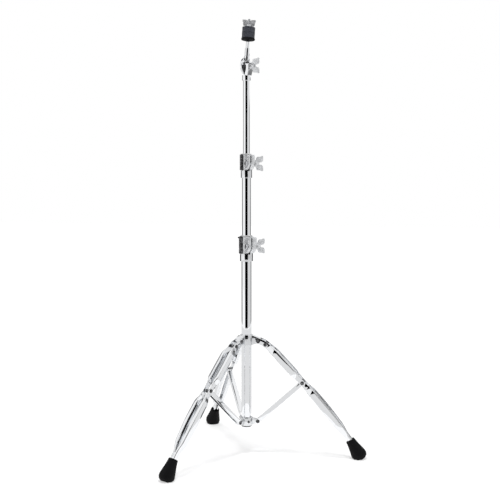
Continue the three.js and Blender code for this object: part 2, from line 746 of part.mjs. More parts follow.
function tilterBase() {
  const near = tilter.washerThickness / 2 + seatGap;
  const far = near + tilter.baseThickness;
  const bottom = socketTop - tilter.socketHeight;
  const socket = post(tilter.socketRadius, bottom, socketTop, facets.tube, tubes.wall);
  const neck = [
    [-tilter.socketRadius * 0.7, bottom + tilter.tubeDepth + tubes.wall], [tilter.socketRadius * 0.7, bottom + tilter.tubeDepth + tubes.wall],
    [tilter.discRadius * 0.8, -tilter.discRadius * 0.5], [-tilter.discRadius * 0.8, -tilter.discRadius * 0.5],
  ];
  const bore = post(radius.upper + seatGap, bottom - overrun, bottom + tilter.tubeDepth + seatGap, facets.tube);
  const body = joined(socket, tilterDisc(near, far), plate(neck, near, far - tilter.edgeRound));
  const boltHole = crossPost(tilter.boltRadius + seatGap, 0, 0, 0, far + overrun);
  const pinHole = crossPost(tilter.rollPinRadius + seatGap, 0, bottom + tilter.tubeDepth / 2, -overrun * 3, overrun * 3);
  return cut(body, bore, boltHole, pinHole);
}

function rollPin() {
  const height = socketTop - tilter.socketHeight + tilter.tubeDepth / 2;
  return crossPost(tilter.rollPinRadius, 0, height, -tilter.socketRadius, tilter.socketRadius);
}

function upperTube() {
  const bottom = upperTubeTop - tubes.upperLength;
  const hole = crossPost(tilter.rollPinRadius + seatGap, 0, upperTubeTop - tilter.tubeDepth / 2, -overrun * 3, overrun * 3);
  const turnedHole = moved(hole, (g) => g.rotateZ(degrees(tilter.azimuth - 90)));
  return tube(radius.upper, bottom, upperTubeTop).subtract(turnedHole);
}

function tilterHead() {
  const near = -tilter.washerThickness / 2 - seatGap;
  const far = near - tilter.headThickness;
  const bossBottom = tilter.discRadius + tilter.socketTopGap;
  const bossTop = bossBottom + tilter.bossHeight;
  const boss = post(tilter.bossRadius, bossBottom, bossTop, facets.small, tubes.wall);
  const neck = [
    [-tilter.discRadius * 0.8, tilter.discRadius * 0.4], [tilter.discRadius * 0.8, tilter.discRadius * 0.4],
    [tilter.bossRadius * 0.8, bossTop - tubes.wall], [-tilter.bossRadius * 0.8, bossTop - tubes.wall],
  ];
  const body = joined(boss, tilterDisc(far, near), plate(neck, far + tilter.edgeRound, near));
  const boltHole = crossPost(tilter.boltRadius + seatGap, 0, 0, far - overrun, 0);
  const rodHole = post(rod.spigotRadius + seatGap, rod.spigotStart - seatGap, bossTop + overrun);
  return cut(body, boltHole, rodHole);
}

function tilterBolt() {
  const face = -tilter.washerThickness / 2 - seatGap * 2 - tilter.headThickness;
  const nutFace = tilter.washerThickness / 2 + seatGap * 2 + tilter.baseThickness;
  const end = nutFace + clampNut.length * nutHubShare + clampSizes.boltPastNut;
  const shank = crossPost(tilter.boltRadius, 0, 0, face - tubes.wall, end, facets.pin, tubes.wall / 2);
  return shank.add(crossPost(tilter.boltHeadRadius, 0, 0, face - tilter.boltHeadHeight, face, facets.small, tubes.wall));
}

function tilterWasher() {
  const half = tilter.washerThickness / 2;
  const hole = crossPost(tilter.boltRadius + seatGap, 0, 0, -overrun, overrun);
  return crossPost(tilter.washerRadius, 0, 0, -half, half, facets.disc).subtract(hole);
}

// Cymbal rod and what sits on it

function cymbalRod() {
  const bossTop = tilter.discRadius + tilter.socketTopGap + tilter.bossHeight + seatGap;
  return turned([
    [0, rod.spigotStart], [rod.spigotRadius, rod.spigotStart], [rod.spigotRadius, bossTop],
    [rod.thickRadius, bossTop], [rod.thickRadius, rod.thickEnd - rod.endRound],
    [rod.thickRadius - rod.endRound, rod.thickEnd], [rod.stemRadius, rod.thickEnd],
    [rod.stemRadius, rod.stemEnd], [rod.threadRadius, rod.stemEnd],
    [rod.threadRadius, rod.end - rod.endRound], [rod.threadRadius - rod.endRound, rod.end], [0, rod.end],
  ], facets.small);
}

function rodStack() {
  const hole = rod.threadRadius + seatGap;
  const washerBottom = rod.stemEnd + seatGap;
  const washerTop = washerBottom + seat.washerHeight;
  const sleeveOuter = hole + seat.sleeveWall;
  const lowerFelt = washerTop + seatGap;
  const upperFelt = lowerFelt + felt.height + seatGap;
  const nutFace = upperFelt + felt.height + seatGap;
  const feltRing = (bottom) => ring(
    felt.radius, sleeveOuter + felt.boreGap, bottom, bottom + felt.height, facets.disc, felt.edgeRound,
  );
  const nut = moved(wingNut(cymbalNut, 0, 0, 0), (g) => {
    g.rotateX(Math.PI / 2);
    g.rotateZ(degrees(rod.nutAzimuth - tilter.azimuth));
    g.translate(0, 0, nutFace);
  });
  return [
    named('cymbal_rod', cymbalRod(), 'chrome'),
    named('seat_washer', ring(seat.washerRadius, hole, washerBottom, washerTop, facets.disc, tubes.wall), 'nylon'),
    named('seat_sleeve', ring(sleeveOuter, hole, lowerFelt, lowerFelt + seat.sleeveHeight, facets.small), 'nylon'),
    named('lower_felt', feltRing(lowerFelt), 'felt'),
    named('upper_felt', feltRing(upperFelt), 'felt'),
    named('cymbal_wing_nut', nut, 'casting'),
  ];
}

function tilterGroup() {
  const nutFace = tilter.washerThickness / 2 + seatGap * 2 + tilter.baseThickness;
  const group = new THREE.Group();
  group.add(named('tilter_base', tilterBase(), 'casting'));
  group.add(named('tilter_roll_pin', rollPin(), 'steel'));
  group.add(named('tilter_friction_washer', tilterWasher(), 'nylon'));
  group.add(named('tilter_bolt', tilterBolt(), 'steel'));
  group.add(named('tilter_wing_nut', wingNut(clampNut, 0, 0, nutFace), 'casting'));
  const head = new THREE.Group();
  head.add(named('tilter_head', tilterHead(), 'casting'), ...rodStack());
  head.rotation.y = -degrees(tilter.restTilt);
  group.add(head);
  group.rotation.z = degrees(tilter.azimuth - 90);
  group.position.z = standHeights.tilterAxis;
  return group;
}

// One leg with its stay and pins, drawn along +X

function legGroup(number) {
  const prefix = `leg_${number}`;
  const group = new THREE.Group();
  group.add(named(`${prefix}_bar_left`, legBarSolid(1), 'chrome'));
  group.add(named(`${prefix}_bar_right`, legBarSolid(-1), 'chrome'));
  group.add(named(`${prefix}_hinge_pin`, headedPin(legPivot, legBar.halfWidthAtHinge), 'steel'));
  group.add(named(`${prefix}_top_rivet`, headedPin(topRivetPlace(), legBar.halfWidthAtHinge, spacerRadius), 'steel'));
  group.add(named(`${prefix}_waist_rivet`, headedPin(waist, legBar.halfWidthAtWaist), 'steel'));
  group.add(named(`${prefix}_stay`, staySolid(), 'chrome'));
  group.add(named(`${prefix}_stay_pin`, headedPin(stayPivot, stay.halfWidth), 'steel'));
  group.add(named(`${prefix}_rubber_foot`, bootSolid(), 'rubber'));
  group.rotation.z = degrees((360 / legCount) * (number - 1));
  return group;
}

function columnGroup() {
  const group = new THREE.Group();
  const middleBottom = middleTubeTop - tubes.middleLength;
  group.add(named('base_tube', tube(radius.base, plug.flange + seatGap, baseTubeTop), 'chrome'));
  group.add(named('base_tube_end_plug', endPlug(), 'nylon'));
  group.add(named('middle_tube', tube(radius.middle, middleBottom, middleTubeTop), 'chrome'));
  group.add(named('upper_tube', upperTube(), 'chrome'));
  group.add(named('leg_collar', collar(legCollar, linkage.legPivotHeight, collarScrew), 'casting'));
  group.add(named('leg_collar_screw', collarFixing(legCollar, linkage.legPivotHeight, collarScrew), 'steel'));
  group.add(named('stay_collar', collar(stayCollar, linkage.stayPivotHeight, collarRivet), 'casting'));
  group.add(named('stay_collar_rivet', collarFixing(stayCollar, linkage.stayPivotHeight, collarRivet), 'steel'));
  return group;
}

const stand = new THREE.Group();
stand.add(columnGroup());
for (let number = 1; number <= legCount; number += 1) stand.add(legGroup(number));
stand.add(clampGroup('lower_clamp', lowerClampSizes, radius.base, radius.middle, standHeights.lowerClamp));
stand.add(clampGroup('upper_clamp', upperClampSizes, radius.middle, radius.upper, standHeights.upperClamp));
stand.add(tilterGroup());

export default stand;
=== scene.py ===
"""Looks of the straight cymbal stand: chrome tubes, folding legs, clamps, tilter, felts and stage.

Shapes are worked out in millimetres in the frame's own axes and stored in metres.
"""

import math
from types import SimpleNamespace

import bpy
import numpy as np
from bpy.props import FloatProperty, FloatVectorProperty, IntProperty, PointerProperty
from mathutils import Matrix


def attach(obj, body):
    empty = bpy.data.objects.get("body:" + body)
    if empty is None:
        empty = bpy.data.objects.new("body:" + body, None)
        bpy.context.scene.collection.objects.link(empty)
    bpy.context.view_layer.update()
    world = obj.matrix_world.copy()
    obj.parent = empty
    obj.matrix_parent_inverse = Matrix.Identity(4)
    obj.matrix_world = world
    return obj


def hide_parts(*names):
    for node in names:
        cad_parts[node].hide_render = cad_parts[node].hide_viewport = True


bl_info = {
    "name": "Straight cymbal stand",
    "version": (1, 0, 0),
    "blender": (4, 5, 0),
    "location": "View3D > Sidebar > Stand",
    "description": "Builds the visible pieces of a straight cymbal stand on its frame",
    "category": "Add Mesh",
}

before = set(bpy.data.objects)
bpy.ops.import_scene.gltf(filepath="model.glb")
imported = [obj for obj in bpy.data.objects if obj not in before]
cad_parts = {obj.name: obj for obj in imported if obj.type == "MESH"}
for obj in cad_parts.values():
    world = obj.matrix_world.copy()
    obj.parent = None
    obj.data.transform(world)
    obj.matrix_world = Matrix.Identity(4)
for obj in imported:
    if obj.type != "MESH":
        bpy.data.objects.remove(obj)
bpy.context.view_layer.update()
MM = 0.001
SHARP = math.radians(38)
LEG_TURNS = (0.0, 120.0, 240.0)
# Largest share of a side that one corner's arc may use, and degrees between its ends below which a turn closes
MOST_OF_SIDE = 0.49
SEAM = 6
# Keeps a slab's sharp corners from being drawn in too far
MITRE = 0.35


# Sizes and colours a user would change


def length(name, description, millimetres):
    """A length, kept in metres."""
    return FloatProperty(name=name, description=description, default=millimetres * MM, unit="LENGTH", precision=5)


def angle(name, description, degrees):
    """An angle, kept in radians."""
    return FloatProperty(name=name, description=description, default=math.radians(degrees), subtype="ANGLE")


def colour(name, description, values):
    """A colour in linear values."""
    return FloatVectorProperty(name=name, description=description, default=values, subtype="COLOR", min=0, max=1)


class ColumnSizes(bpy.types.PropertyGroup):
    base_radius: length("Base tube radius", "Outer radius of the lowest tube", 14.3)
    middle_radius: length("Middle tube radius", "Outer radius of the middle tube", 12.7)
    upper_radius: length("Upper tube radius", "Outer radius of the upper tube", 9.525)
    wall: length("Tube wall", "Wall thickness of the tubes", 1.2)
    base_top: length("Top of the base tube", "Height of its upper end", 498.0)
    middle_top: length("Top of the middle tube", "Height of its upper end", 730.5)
    upper_top: length("Top of the upper tube", "Height of its upper end", 982.9)
    round_segments: IntProperty(name="Segments", description="Points round a tube", default=96, min=12)


class LegSizes(bpy.types.PropertyGroup):
    pivot_radius: length("Pivot radius", "Of the collar pins from the column's axis", 33.5)
    leg_pivot_height: length("Leg pivot height", "Of the pins in the sliding collar", 249.5)
    stay_pivot_height: length("Stay pivot height", "Of the pins in the fixed collar", 16.5)
    waist_radius: length("Waist radius", "Of the stay's outer rivet from the column's axis", 160.5)
    sheet: length("Sheet", "Thickness of the stamped channels", 1.5)
    boot_slope: angle("Boot slope", "Of a boot's axis below the horizontal", 58.0)
    floor_height: length("Floor", "Height of the floor", -77.5)


class TopSizes(bpy.types.PropertyGroup):
    tilter_height: length("Tilter height", "Of the tilter's bolt", 1014.0)
    tilter_azimuth: angle("Tilter azimuth", "Of the tilter's bolt towards its wing nut", -20.0)
    rod_lean: angle("Rod lean", "Of the rod from the vertical", 7.0)
    thread_pitch: length("Thread pitch", "Of the rod's threaded top", 1.25)
    felt_radius: length("Felt radius", "Outer radius of both felts", 18.2)
    felt_height: length("Felt height", "Thickness of one felt", 14.2)


class Finishes(bpy.types.PropertyGroup):
    chrome: colour("Chrome", "Mirror plating of tubes and stamped parts", (0.86, 0.87, 0.885))
    casting: colour("Casting", "Plated castings, a little duller", (0.8, 0.81, 0.825))
    steel: colour("Steel", "Zinc plated pins", (0.62, 0.63, 0.65))
    # Dark tone of the barrel finish on hinges, pins and rivets: painted dark reflection
    barrel: colour("Hinge barrels", "Darkened plating of the clamp hinges", (0.16, 0.16, 0.165))
    nylon: colour("Black nylon", "Washers and end plug", (0.008, 0.008, 0.009))
    bushing: colour("Bushing", "Milky nylon of the bushings in the clamps", (0.42, 0.42, 0.42))
    rubber: colour("Rubber", "Boots", (0.004, 0.004, 0.0045))
    felt: colour("Felt", "Pressed felt", (0.038, 0.041, 0.052))


class StageLevels(bpy.types.PropertyGroup):
    camera_azimuth: angle("Camera azimuth", "Turn of the view about the column", 10.3)
    camera_distance: length("Camera distance", "From the column", 2667.0)
    camera_height: length("Camera height", "Over the frame's origin", 761.5)
    camera_offset: length("Camera offset", "Sideways", 9.9)
    camera_pitch: angle("Camera pitch", "Downwards", 5.5)
    lens: FloatProperty(name="Lens", description="Focal length on a 36 mm sensor", default=68.7, unit="CAMERA")
    room_light: FloatProperty(name="Room light", description="Level of the surroundings", default=0.76, min=0)
    lamp_power: FloatProperty(name="Soft lamp", description="Power of the soft lamp", default=36.0, unit="POWER")


def values_of(group_name):
    """A group's values by name: lengths in millimetres, angles in degrees and the others as they are."""
    group = getattr(bpy.context.scene, group_name)
    scale = {"LENGTH": 1 / MM, "ROTATION": 180 / math.pi}
    rows = {key: prop for key, prop in group.bl_rna.properties.items() if key not in ("rna_type", "name")}
    return SimpleNamespace(**{
        key: getattr(group, key) * scale[prop.unit] if getattr(prop, "unit", "NONE") in scale else getattr(group, key)
        for key, prop in rows.items()
    })


# Shapes: a shell is (points, quads, other faces)


def shell(points, quads, others=()):
    """A closed surface, its faces turned round if the sum of its signed corner tetrahedra is negative."""
    triangles = np.vstack([quads[:, [0, 1, 2]], quads[:, [0, 2, 3]]])
    fans = [np.array([[f[0], a, b] for a, b in zip(f[1:-1], f[2:])]) for f in others]
    triangles = np.vstack([triangles, *fans]) if fans else triangles
    a, b, c = (points[triangles[:, k]] for k in range(3))
    if np.einsum("ij,ij->", a, np.cross(b, c)) < 0:
        quads = quads[:, ::-1]
        others = [f[::-1] for f in others]
    return points, quads, list(others)


def grid(points, wrap_rows=False, caps=False, poles=(False, False), strips=False):
    """Surface over rows x columns of points, closed along each row, with lids or poles at its two ends.

    A lid in strips joins each column with its mirror image.
    """
    rows, columns = points.shape[:2]
    index = np.arange(rows * columns).reshape(rows, columns)
    inner = index[int(poles[0]): rows - int(poles[1])]
    loop = np.vstack([inner, inner[:1]]) if wrap_rows else inner
    loop = np.hstack([loop, loop[:, :1]])
    quads = np.stack([loop[:-1, :-1], loop[1:, :-1], loop[1:, 1:], loop[:-1, 1:]], axis=-1).reshape(-1, 4)
    others = []
    if caps:
        others = [index[0].tolist(), index[-1][::-1].tolist()]
    if strips:
        half = columns // 2
        for ring, back in ((index[0], False), (index[-1], True)):
            a, b = ring[:half], ring[::-1][:half]
            strip = np.stack([a[:-1], a[1:], b[1:], b[:-1]], -1)
            quads = np.vstack([quads, strip[:, ::-1] if back else strip])
    if poles[0]:
        ring = np.append(index[1], index[1][0])
        others += np.stack([np.full(columns, index[0, 0]), ring[:-1], ring[1:]], axis=-1).tolist()
    if poles[1]:
        ring = np.append(index[-2], index[-2][0])
        others += np.stack([ring[:-1], np.full(columns, index[-1, 0]), ring[1:]], axis=-1).tolist()
    return shell(points.reshape(-1, 3), quads, others)


def rounded(corners, radius, steps=4, closed=True):
    """Outline with arcs for corners: each leaves its corner's sides at radius / tan(half the angle) from it."""
    p = np.asarray(corners, float)
    before, after = np.roll(p, 1, 0) - p, np.roll(p, -1, 0) - p
    if not closed:
        before[0], after[-1] = p[0] - p[1], p[-1] - p[-2]
    size = [np.linalg.norm(v, axis=1, keepdims=True) for v in (before, after)]
    a, b = before / size[0], after / size[1]
    half = np.arccos(np.clip((a * b).sum(1, keepdims=True), -0.99999, 0.99999)) / 2
    run = np.minimum(np.reshape(radius, (-1, 1)) / np.tan(half), MOST_OF_SIDE * np.minimum(*size))
    if not closed:
        run[[0, -1]] = 0
    middle = a + b
    middle = middle / np.maximum(np.linalg.norm(middle, axis=1, keepdims=True), 1e-9)
    centre = p + middle * run / np.cos(half)
    start, end = p + a * run - centre, p + b * run - centre
    sweep = np.pi - 2 * half
    share = np.linspace(0, 1, steps + 1).reshape(1, -1, 1)
    spread = np.maximum(np.sin(sweep), 1e-6)[:, None]
    points = centre[:, None] + (
        np.sin((1 - share) * sweep[:, None]) * start[:, None] + np.sin(share * sweep[:, None]) * end[:, None]
    ) / spread
    points = points.reshape(-1, 2)
    return points if closed else points[steps:-steps]


def turned(profile, segments=None, closed=False, angles=None):
    """Revolves (r, z) pairs about Z to (r cos t, r sin t, z). Angles short of a turn make a sector with flat ends."""
    segments = segments or bpy.context.scene.stand_column.round_segments
    r, z = np.asarray(profile, float).T
    t = np.linspace(0, 360, segments, endpoint=False) if angles is None else np.asarray(angles, float)
    whole = angles is None or 360 - (t[-1] - t[0]) < SEAM
    t = np.radians(t)
    if closed:
        t = t[:, None]
    else:
        r, z = r[:, None], z[:, None]
    points = np.stack(np.broadcast_arrays(r * np.cos(t), r * np.sin(t), z), -1)
    if closed:
        return grid(points, wrap_rows=whole, caps=not whole)
    return grid(points, poles=(r[0, 0] < 1e-9, r[-1, 0] < 1e-9))


def lathe(corners, radii, segments=None, ring=False, steps=4, angles=None):
    """Revolves corners, rounded off: a ring's profile is closed, and any other starts and ends on the axis."""
    return turned(rounded(corners, radii, steps, ring), segments, ring, angles)


def post(radius, low, high, edge, segments=48):
    """Upright round post with rounded rims."""
    return lathe([(0, low), (radius, low), (radius, high), (0, high)], edge, segments)


def sleeve(outer, inner, low, high, edges, segments=None, angles=None):
    """Round wall with rounded rims, whole or in part."""
    corners = [(inner, low), (outer, low), (outer, high), (inner, high)]
    return lathe(corners, [edges[0] / 3, edges[0], edges[1], edges[1] / 3], segments, True, angles=angles)


def slab(outline, low, high, edge, steps=4, strips=False):
    """Plate between two values of y with a rounded rim.

    Each ring is the outline drawn in by edge (1 - sin t) while y moves by edge (1 - cos t).
    """
    p = np.asarray(outline, float)
    along = np.roll(p, -1, 0) - p
    along /= np.maximum(np.linalg.norm(along, axis=1, keepdims=True), 1e-9)
    out = np.stack([along[:, 1], -along[:, 0]], 1)
    both = out + np.roll(out, 1, 0)
    both /= np.maximum((both ** 2).sum(1, keepdims=True) / 2, MITRE)
    x, z = p.T
    if (x * np.roll(z, -1) - z * np.roll(x, -1)).sum() < 0:
        both = -both
    t = np.linspace(0, np.pi / 2, steps + 1)
    inset = edge * (1 - np.sin(t))
    inset = np.concatenate([inset, inset[::-1]])
    y = np.concatenate([low + edge * (1 - np.cos(t)), high - edge * (1 - np.cos(t))[::-1]])
    ring = p[None] - both[None] * inset[:, None, None]
    points = np.stack([ring[..., 0], np.broadcast_to(y[:, None], ring.shape[:2]), ring[..., 1]], -1)
    return grid(points, caps=not strips, strips=strips)


def arc(x, z, radius, start, end, steps=24):
    """Points of a circular arc, from one angle in degrees to another."""
    t = np.radians(np.linspace(start, end, steps))
    return np.stack([x + radius * np.cos(t), z + radius * np.sin(t)], 1)


def turn_matrix(axis, degrees):
    """Rotation about X, Y or Z by the right-hand rule."""
    c, s = math.cos(math.radians(degrees)), math.sin(math.radians(degrees))
    return np.array({
        "X": [[1, 0, 0], [0, c, -s], [0, s, c]],
        "Y": [[c, 0, s], [0, 1, 0], [-s, 0, c]],
        "Z": [[c, -s, 0], [s, c, 0], [0, 0, 1]],
    }[axis])


def turn(made, axis, degrees):
    """A shell turned about a frame axis."""
    return made[0] @ turn_matrix(axis, degrees).T, made[1], made[2]


def shift(made, x=0.0, y=0.0, z=0.0):
    """A shell moved by a vector."""
    return made[0] + np.array([x, y, z], float), made[1], made[2]


def crosswise(made, x=0.0, z=0.0):
    """A shell whose Z axis is laid along Y, at a given x and z."""
    return shift(turn(made, "X", -90), x, 0, z)


def smooth_line(stations, per_span):
    """Centripetal Catmull-Rom curve through points, with its tangents.

    Each span is the cubic whose end slopes follow its neighbours, weighted by the root of their distances.
    """
    p = np.asarray(stations, float)
    p = np.vstack([2 * p[0] - p[1], p, 2 * p[-1] - p[-2]])
    d = np.sqrt(np.linalg.norm(np.diff(p, axis=0), axis=1))[:, None]
    p0, p1, p2, p3 = p[:-3], p[1:-2], p[2:-1], p[3:]
    d0, d1, d2 = d[:-2], d[1:-1], d[2:]
    m1 = ((p1 - p0) / d0 - (p2 - p0) / (d0 + d1) + (p2 - p1) / d1) * d1
    m2 = ((p2 - p1) / d1 - (p3 - p1) / (d1 + d2) + (p3 - p2) / d2) * d1
    s = (np.arange(per_span) / per_span).reshape(1, -1, 1)
    a, b = (2 * p1 - 2 * p2 + m1 + m2)[:, None], (-3 * p1 + 3 * p2 - 2 * m1 - m2)[:, None]
    q, m = p1[:, None], m1[:, None]
    place = (a * s ** 3 + b * s ** 2 + m * s + q).reshape(-1, p.shape[1])
    slope = (3 * a * s ** 2 + 2 * b * s + m).reshape(-1, p.shape[1])
    place = np.vstack([place, p2[-1]])
    slope = np.vstack([slope, m2[-1]])
    return place, slope / np.linalg.norm(slope, axis=1, keepdims=True)


def ease(values, per_span):
    """Values between stations along the curve 3 s^2 - 2 s^3, so that they are level at each station."""
    v = np.asarray(values, float)
    s = np.arange(per_span) / per_span
    s = 3 * s ** 2 - 2 * s ** 3
    return np.append((v[:-1, None] + (v[1:] - v[:-1])[:, None] * s).reshape(-1), v[-1])


def placed(name, data):
    """A new object in the scene."""
    piece = bpy.data.objects.new(name, data)
    bpy.context.scene.collection.objects.link(piece)
    return piece


def build(name, shells, finish, body, replaces, slot=None, more=()):
    """One mesh from shells in millimetres, smooth up to a set angle, on its body and in place of its frame nodes.

    More lists (shells, finish) pairs of its faces in other finishes. The slot, the finish's own unless given, is
    worked out but not given to the piece.
    """
    points, faces, marks, offset = [], [], [], 0
    parts = [(shells, finish), *more]
    for mark, (group, _) in enumerate(parts):
        for co, quads, others in group:
            points.append(co)
            faces += (quads + offset).tolist()
            faces += [[i + offset for i in face] for face in others]
            marks += [mark] * (len(quads) + len(others))
            offset += len(co)
    mesh = bpy.data.meshes.new(name)
    mesh.from_pydata(np.vstack(points) * MM, [], faces)
    for _, kind in parts:
        mesh.materials.append(finish_of(kind))
    mesh.polygons.foreach_set("material_index", marks)
    mesh.validate()
    mesh.shade_smooth()
    mesh.set_sharp_from_angle(angle=SHARP)
    piece = placed(name, mesh)
    slot = slot or FINISHES[finish][1]
    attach(piece, body)
    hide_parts(*replaces)
    return piece


# Finishes


class Wire:
    """A shader value that takes part in ordinary arithmetic: each operation adds its Math node."""

    def __init__(self, nodes, socket):
        self.nodes, self.socket = nodes, socket

    def also(self, name):
        """Another output of the same node."""
        return Wire(self.nodes, self.socket.node.outputs[name])

    def _math(self, operation, a, b):
        return self.nodes.add("ShaderNodeMath", {"operation": operation}, {0: a, 1: b})

    def __add__(self, other):
        return self._math("ADD", self, other)

    def __sub__(self, other):
        return self._math("SUBTRACT", self, other)

    def __rsub__(self, other):
        return self._math("SUBTRACT", other, self)

    def __mul__(self, other):
        return self._math("MULTIPLY", self, other)

    def __pow__(self, other):
        return self._math("POWER", self, other)

    __radd__ = __add__
    __rmul__ = __mul__


class Nodes:
    """A node tree under construction, of a material or of the world."""

    def __init__(self, tree):
        self.tree = tree
        tree.nodes.clear()

    def add(self, kind, settings=None, inputs=None, output=0):
        """Adds a node: its settings first, then the values or links of its sockets. Returns one of its outputs."""
        node = self.tree.nodes.new(kind)
        for key, value in (settings or {}).items():
            setattr(node, key, value)
        for key, value in (inputs or {}).items():
            if isinstance(value, Wire):
                self.tree.links.new(value.socket, node.inputs[key])
            else:
                node.inputs[key].default_value = value
        return Wire(self, node.outputs[output]) if node.outputs else None

    def seen(self):
        """Share of a ray that looks at the stage: one for camera, glossy and transmission rays."""
        camera = self.add("ShaderNodeLightPath", output="Is Camera Ray")
        return camera + camera.also("Is Glossy Ray") + camera.also("Is Transmission Ray")


class Finish(Nodes):
    """A node material under construction, around one colour."""

    def __init__(self, name, tone=None):
        self.material = bpy.data.materials.new(name)
        self.material.use_nodes = True
        super().__init__(self.material.node_tree)
        self.tone = tone
        self.place = self.add("ShaderNodeTexCoord", output="Object")

    def noise(self, scale, detail=4.0, roughness=0.55, stretch=None):
        """Fractal noise on the piece's own coordinates, in repeats per metre, stretched along an axis if asked."""
        place = self.place
        if stretch:
            place = self.add("ShaderNodeMapping", inputs={"Vector": place, "Scale": stretch})
        return self.add(
            "ShaderNodeTexNoise", inputs={"Vector": place, "Scale": scale, "Detail": detail, "Roughness": roughness},
        )

    def spots(self, value, low, high):
        """Spreads the part of a pattern between two values over zero to one, smoothly."""
        return self.add(
            "ShaderNodeMapRange", {"interpolation_type": "SMOOTHSTEP"},
            {"Value": value, "From Min": low, "From Max": high},
        )

    def blend(self, factor, *pair):
        """Mixes two colours, each a link or a factor by which the finish's own colour is lighter or darker."""
        first, second = (
            colour if isinstance(colour, Wire) else tuple(min(1.0, c * colour) for c in self.tone) + (1.0,)
            for colour in pair
        )
        return self.add("ShaderNodeMix", {"data_type": "RGBA"}, {0: factor, 6: first, 7: second}, output=2)

    def bump(self, height, strength, distance):
        """Relief of a height in metres times its strength."""
        return self.add("ShaderNodeBump", inputs={"Strength": strength, "Distance": distance, "Height": height})

    def close(self, surface):
        """Ends the material in a shader."""
        self.add("ShaderNodeOutputMaterial", inputs={"Surface": surface})
        return self.material

    def finish(self, fixed, body, rough, relief):
        """Closes the material with one Principled shader: plain numbers on its own sockets, patterns through links."""
        varying = {"Base Color": body, "Roughness": rough, "Normal": relief}
        return self.close(self.add("ShaderNodeBsdfPrincipled", inputs={**fixed, **varying}))


METAL = {"Metallic": 1.0}


def drawn_chrome(f):
    """Mirror plating on tube and sheet: long faint polishing lines, a cloudy haze and small dull specks."""
    cloud = f.noise(9.0, 5.0, 0.6)
    wipe = f.noise(60.0, 3.0, 0.5, (1.0, 1.0, 0.15))
    specks = f.spots(f.noise(420.0, 3.0, 0.5), 0.7, 0.78)
    body = f.blend(0.4 * specks, f.blend(cloud, 0.96, 1.03), 0.75)
    rough = 0.015 + 0.03 * (cloud ** 2.0) + 0.015 * wipe + 0.1 * specks
    relief = f.bump(wipe * 0.6 + f.noise(140.0, 3.0) * 0.4, 0.006, 0.0004)
    return f.finish(METAL, body, rough, relief)


def cast_chrome(f):
    """Plating over a die casting: soft waves of the casting skin, fine pits and a mottled haze."""
    skin = f.noise(110.0, 4.0, 0.6)
    cloud = f.noise(45.0, 5.0, 0.65)
    pits = f.spots(f.noise(800.0, 2.0, 0.5), 0.62, 0.72)
    body = f.blend(0.6 * pits, f.blend(cloud, 0.84, 1.06), 0.6)
    rough = 0.04 + 0.1 * cloud + 0.12 * pits
    return f.finish(METAL, body, rough, f.bump(skin * 0.8 - pits * 0.2, 0.12, 0.0005))


def satin_casting(f):
    """Duller plating of jaws, ears and wing nuts: broad grey mottling, coarse casting skin and scattered pits."""
    skin = f.noise(170.0, 5.0, 0.65)
    cloud = f.noise(90.0, 5.0, 0.7)
    pits = f.spots(f.noise(700.0, 2.0, 0.5), 0.6, 0.7)
    body = f.blend(0.4 * pits, f.blend(f.spots(cloud, 0.36, 0.64), 0.88, 1.12), 0.6)
    rough = 0.42 + 0.14 * cloud + 0.1 * pits
    return f.finish(METAL, body, rough, f.bump(skin * 0.8 - pits * 0.2, 0.3, 0.0006))


def plated_steel(f):
    """Zinc plated steel: fine turning lines and a slightly mottled tone."""
    lines = f.noise(700.0, 3.0, 0.6, (1.0, 0.08, 1.0))
    body = f.blend(f.noise(120.0, 4.0), 0.85, 1.12)
    return f.finish(METAL, body, 0.2 + 0.2 * lines, f.bump(lines, 0.15, 0.0002))


def dark_barrel(f):
    """Hinge barrel: dull, uneven plating whose dark colour is painted dark reflection, with brighter patches that are
    painted highlights.
    """
    patches = f.noise(160.0, 5.0, 0.7)
    # The brighter patches are painted highlights over the painted dark reflection
    painted_highlights = f.spots(patches, 0.5, 0.68)
    return f.finish(METAL, f.blend(painted_highlights, 0.5, 3.2), 0.42 - 0.2 * painted_highlights, f.bump(patches, 0.3, 0.0006))


def moulded(grain_scale, roughness, relief, gloss=0.4):
    """Moulded plastic or rubber: fine grain, dusty lighter patches and uneven gloss."""
    def make(f):
        dust = f.noise(35.0, 5.0, 0.65)
        grain = f.bump(f.noise(grain_scale, 3.0), relief, 0.0003)
        return f.finish({"Specular IOR Level": gloss}, f.blend(dust, 0.8, 1.7), roughness + 0.15 * dust, grain)
    return make


def pressed_felt(f):
    """Pressed wool felt: tangled light and dark fibres at two scales over a soft mottled ground."""
    fibres = f.noise(700.0, 6.0, 0.75, (1.0, 1.0, 1.4))
    tufts = f.spots(f.noise(200.0, 5.0, 0.7), 0.38, 0.62)
    stray = f.spots(f.noise(1500.0, 3.0, 0.6, (1.0, 1.0, 0.4)), 0.58, 0.7)
    body = f.blend(0.5 * tufts, f.blend(fibres ** 1.6, 0.4, 2.2), 0.5)
    body = f.blend(0.35 * stray, body, 3.4)
    relief = f.bump(fibres * 0.6 + tufts * 0.6, 0.9, 0.0012)
    soft = {"Sheen Weight": 0.1, "Sheen Roughness": 0.6, "Specular IOR Level": 0.1}
    return f.finish(soft, body, 0.85 + 0.12 * tufts, relief)


# Finish of each name: its colour's name, the slot meant for a piece that has it, which build works out but doesn't
# give, and its maker
FINISHES = {
    "drawn_chrome": ("chrome", "chrome_tube", drawn_chrome),
    "cast_chrome": ("casting", "chrome_casting", cast_chrome),
    "satin_casting": ("casting", "chrome_casting", satin_casting),
    "zinc_steel": ("steel", "plated_steel", plated_steel),
    "dark_barrel": ("barrel", "plated_steel", dark_barrel),
    "black_nylon": ("nylon", "nylon", moulded(1400.0, 0.65, 0.12, 0.04)),
    "pale_nylon": ("bushing", "nylon", moulded(1400.0, 0.45, 0.12)),
    "black_rubber": ("rubber", "rubber", moulded(900.0, 0.5, 0.3, 0.08)),
    "grey_felt": ("felt", "felt", pressed_felt),
}


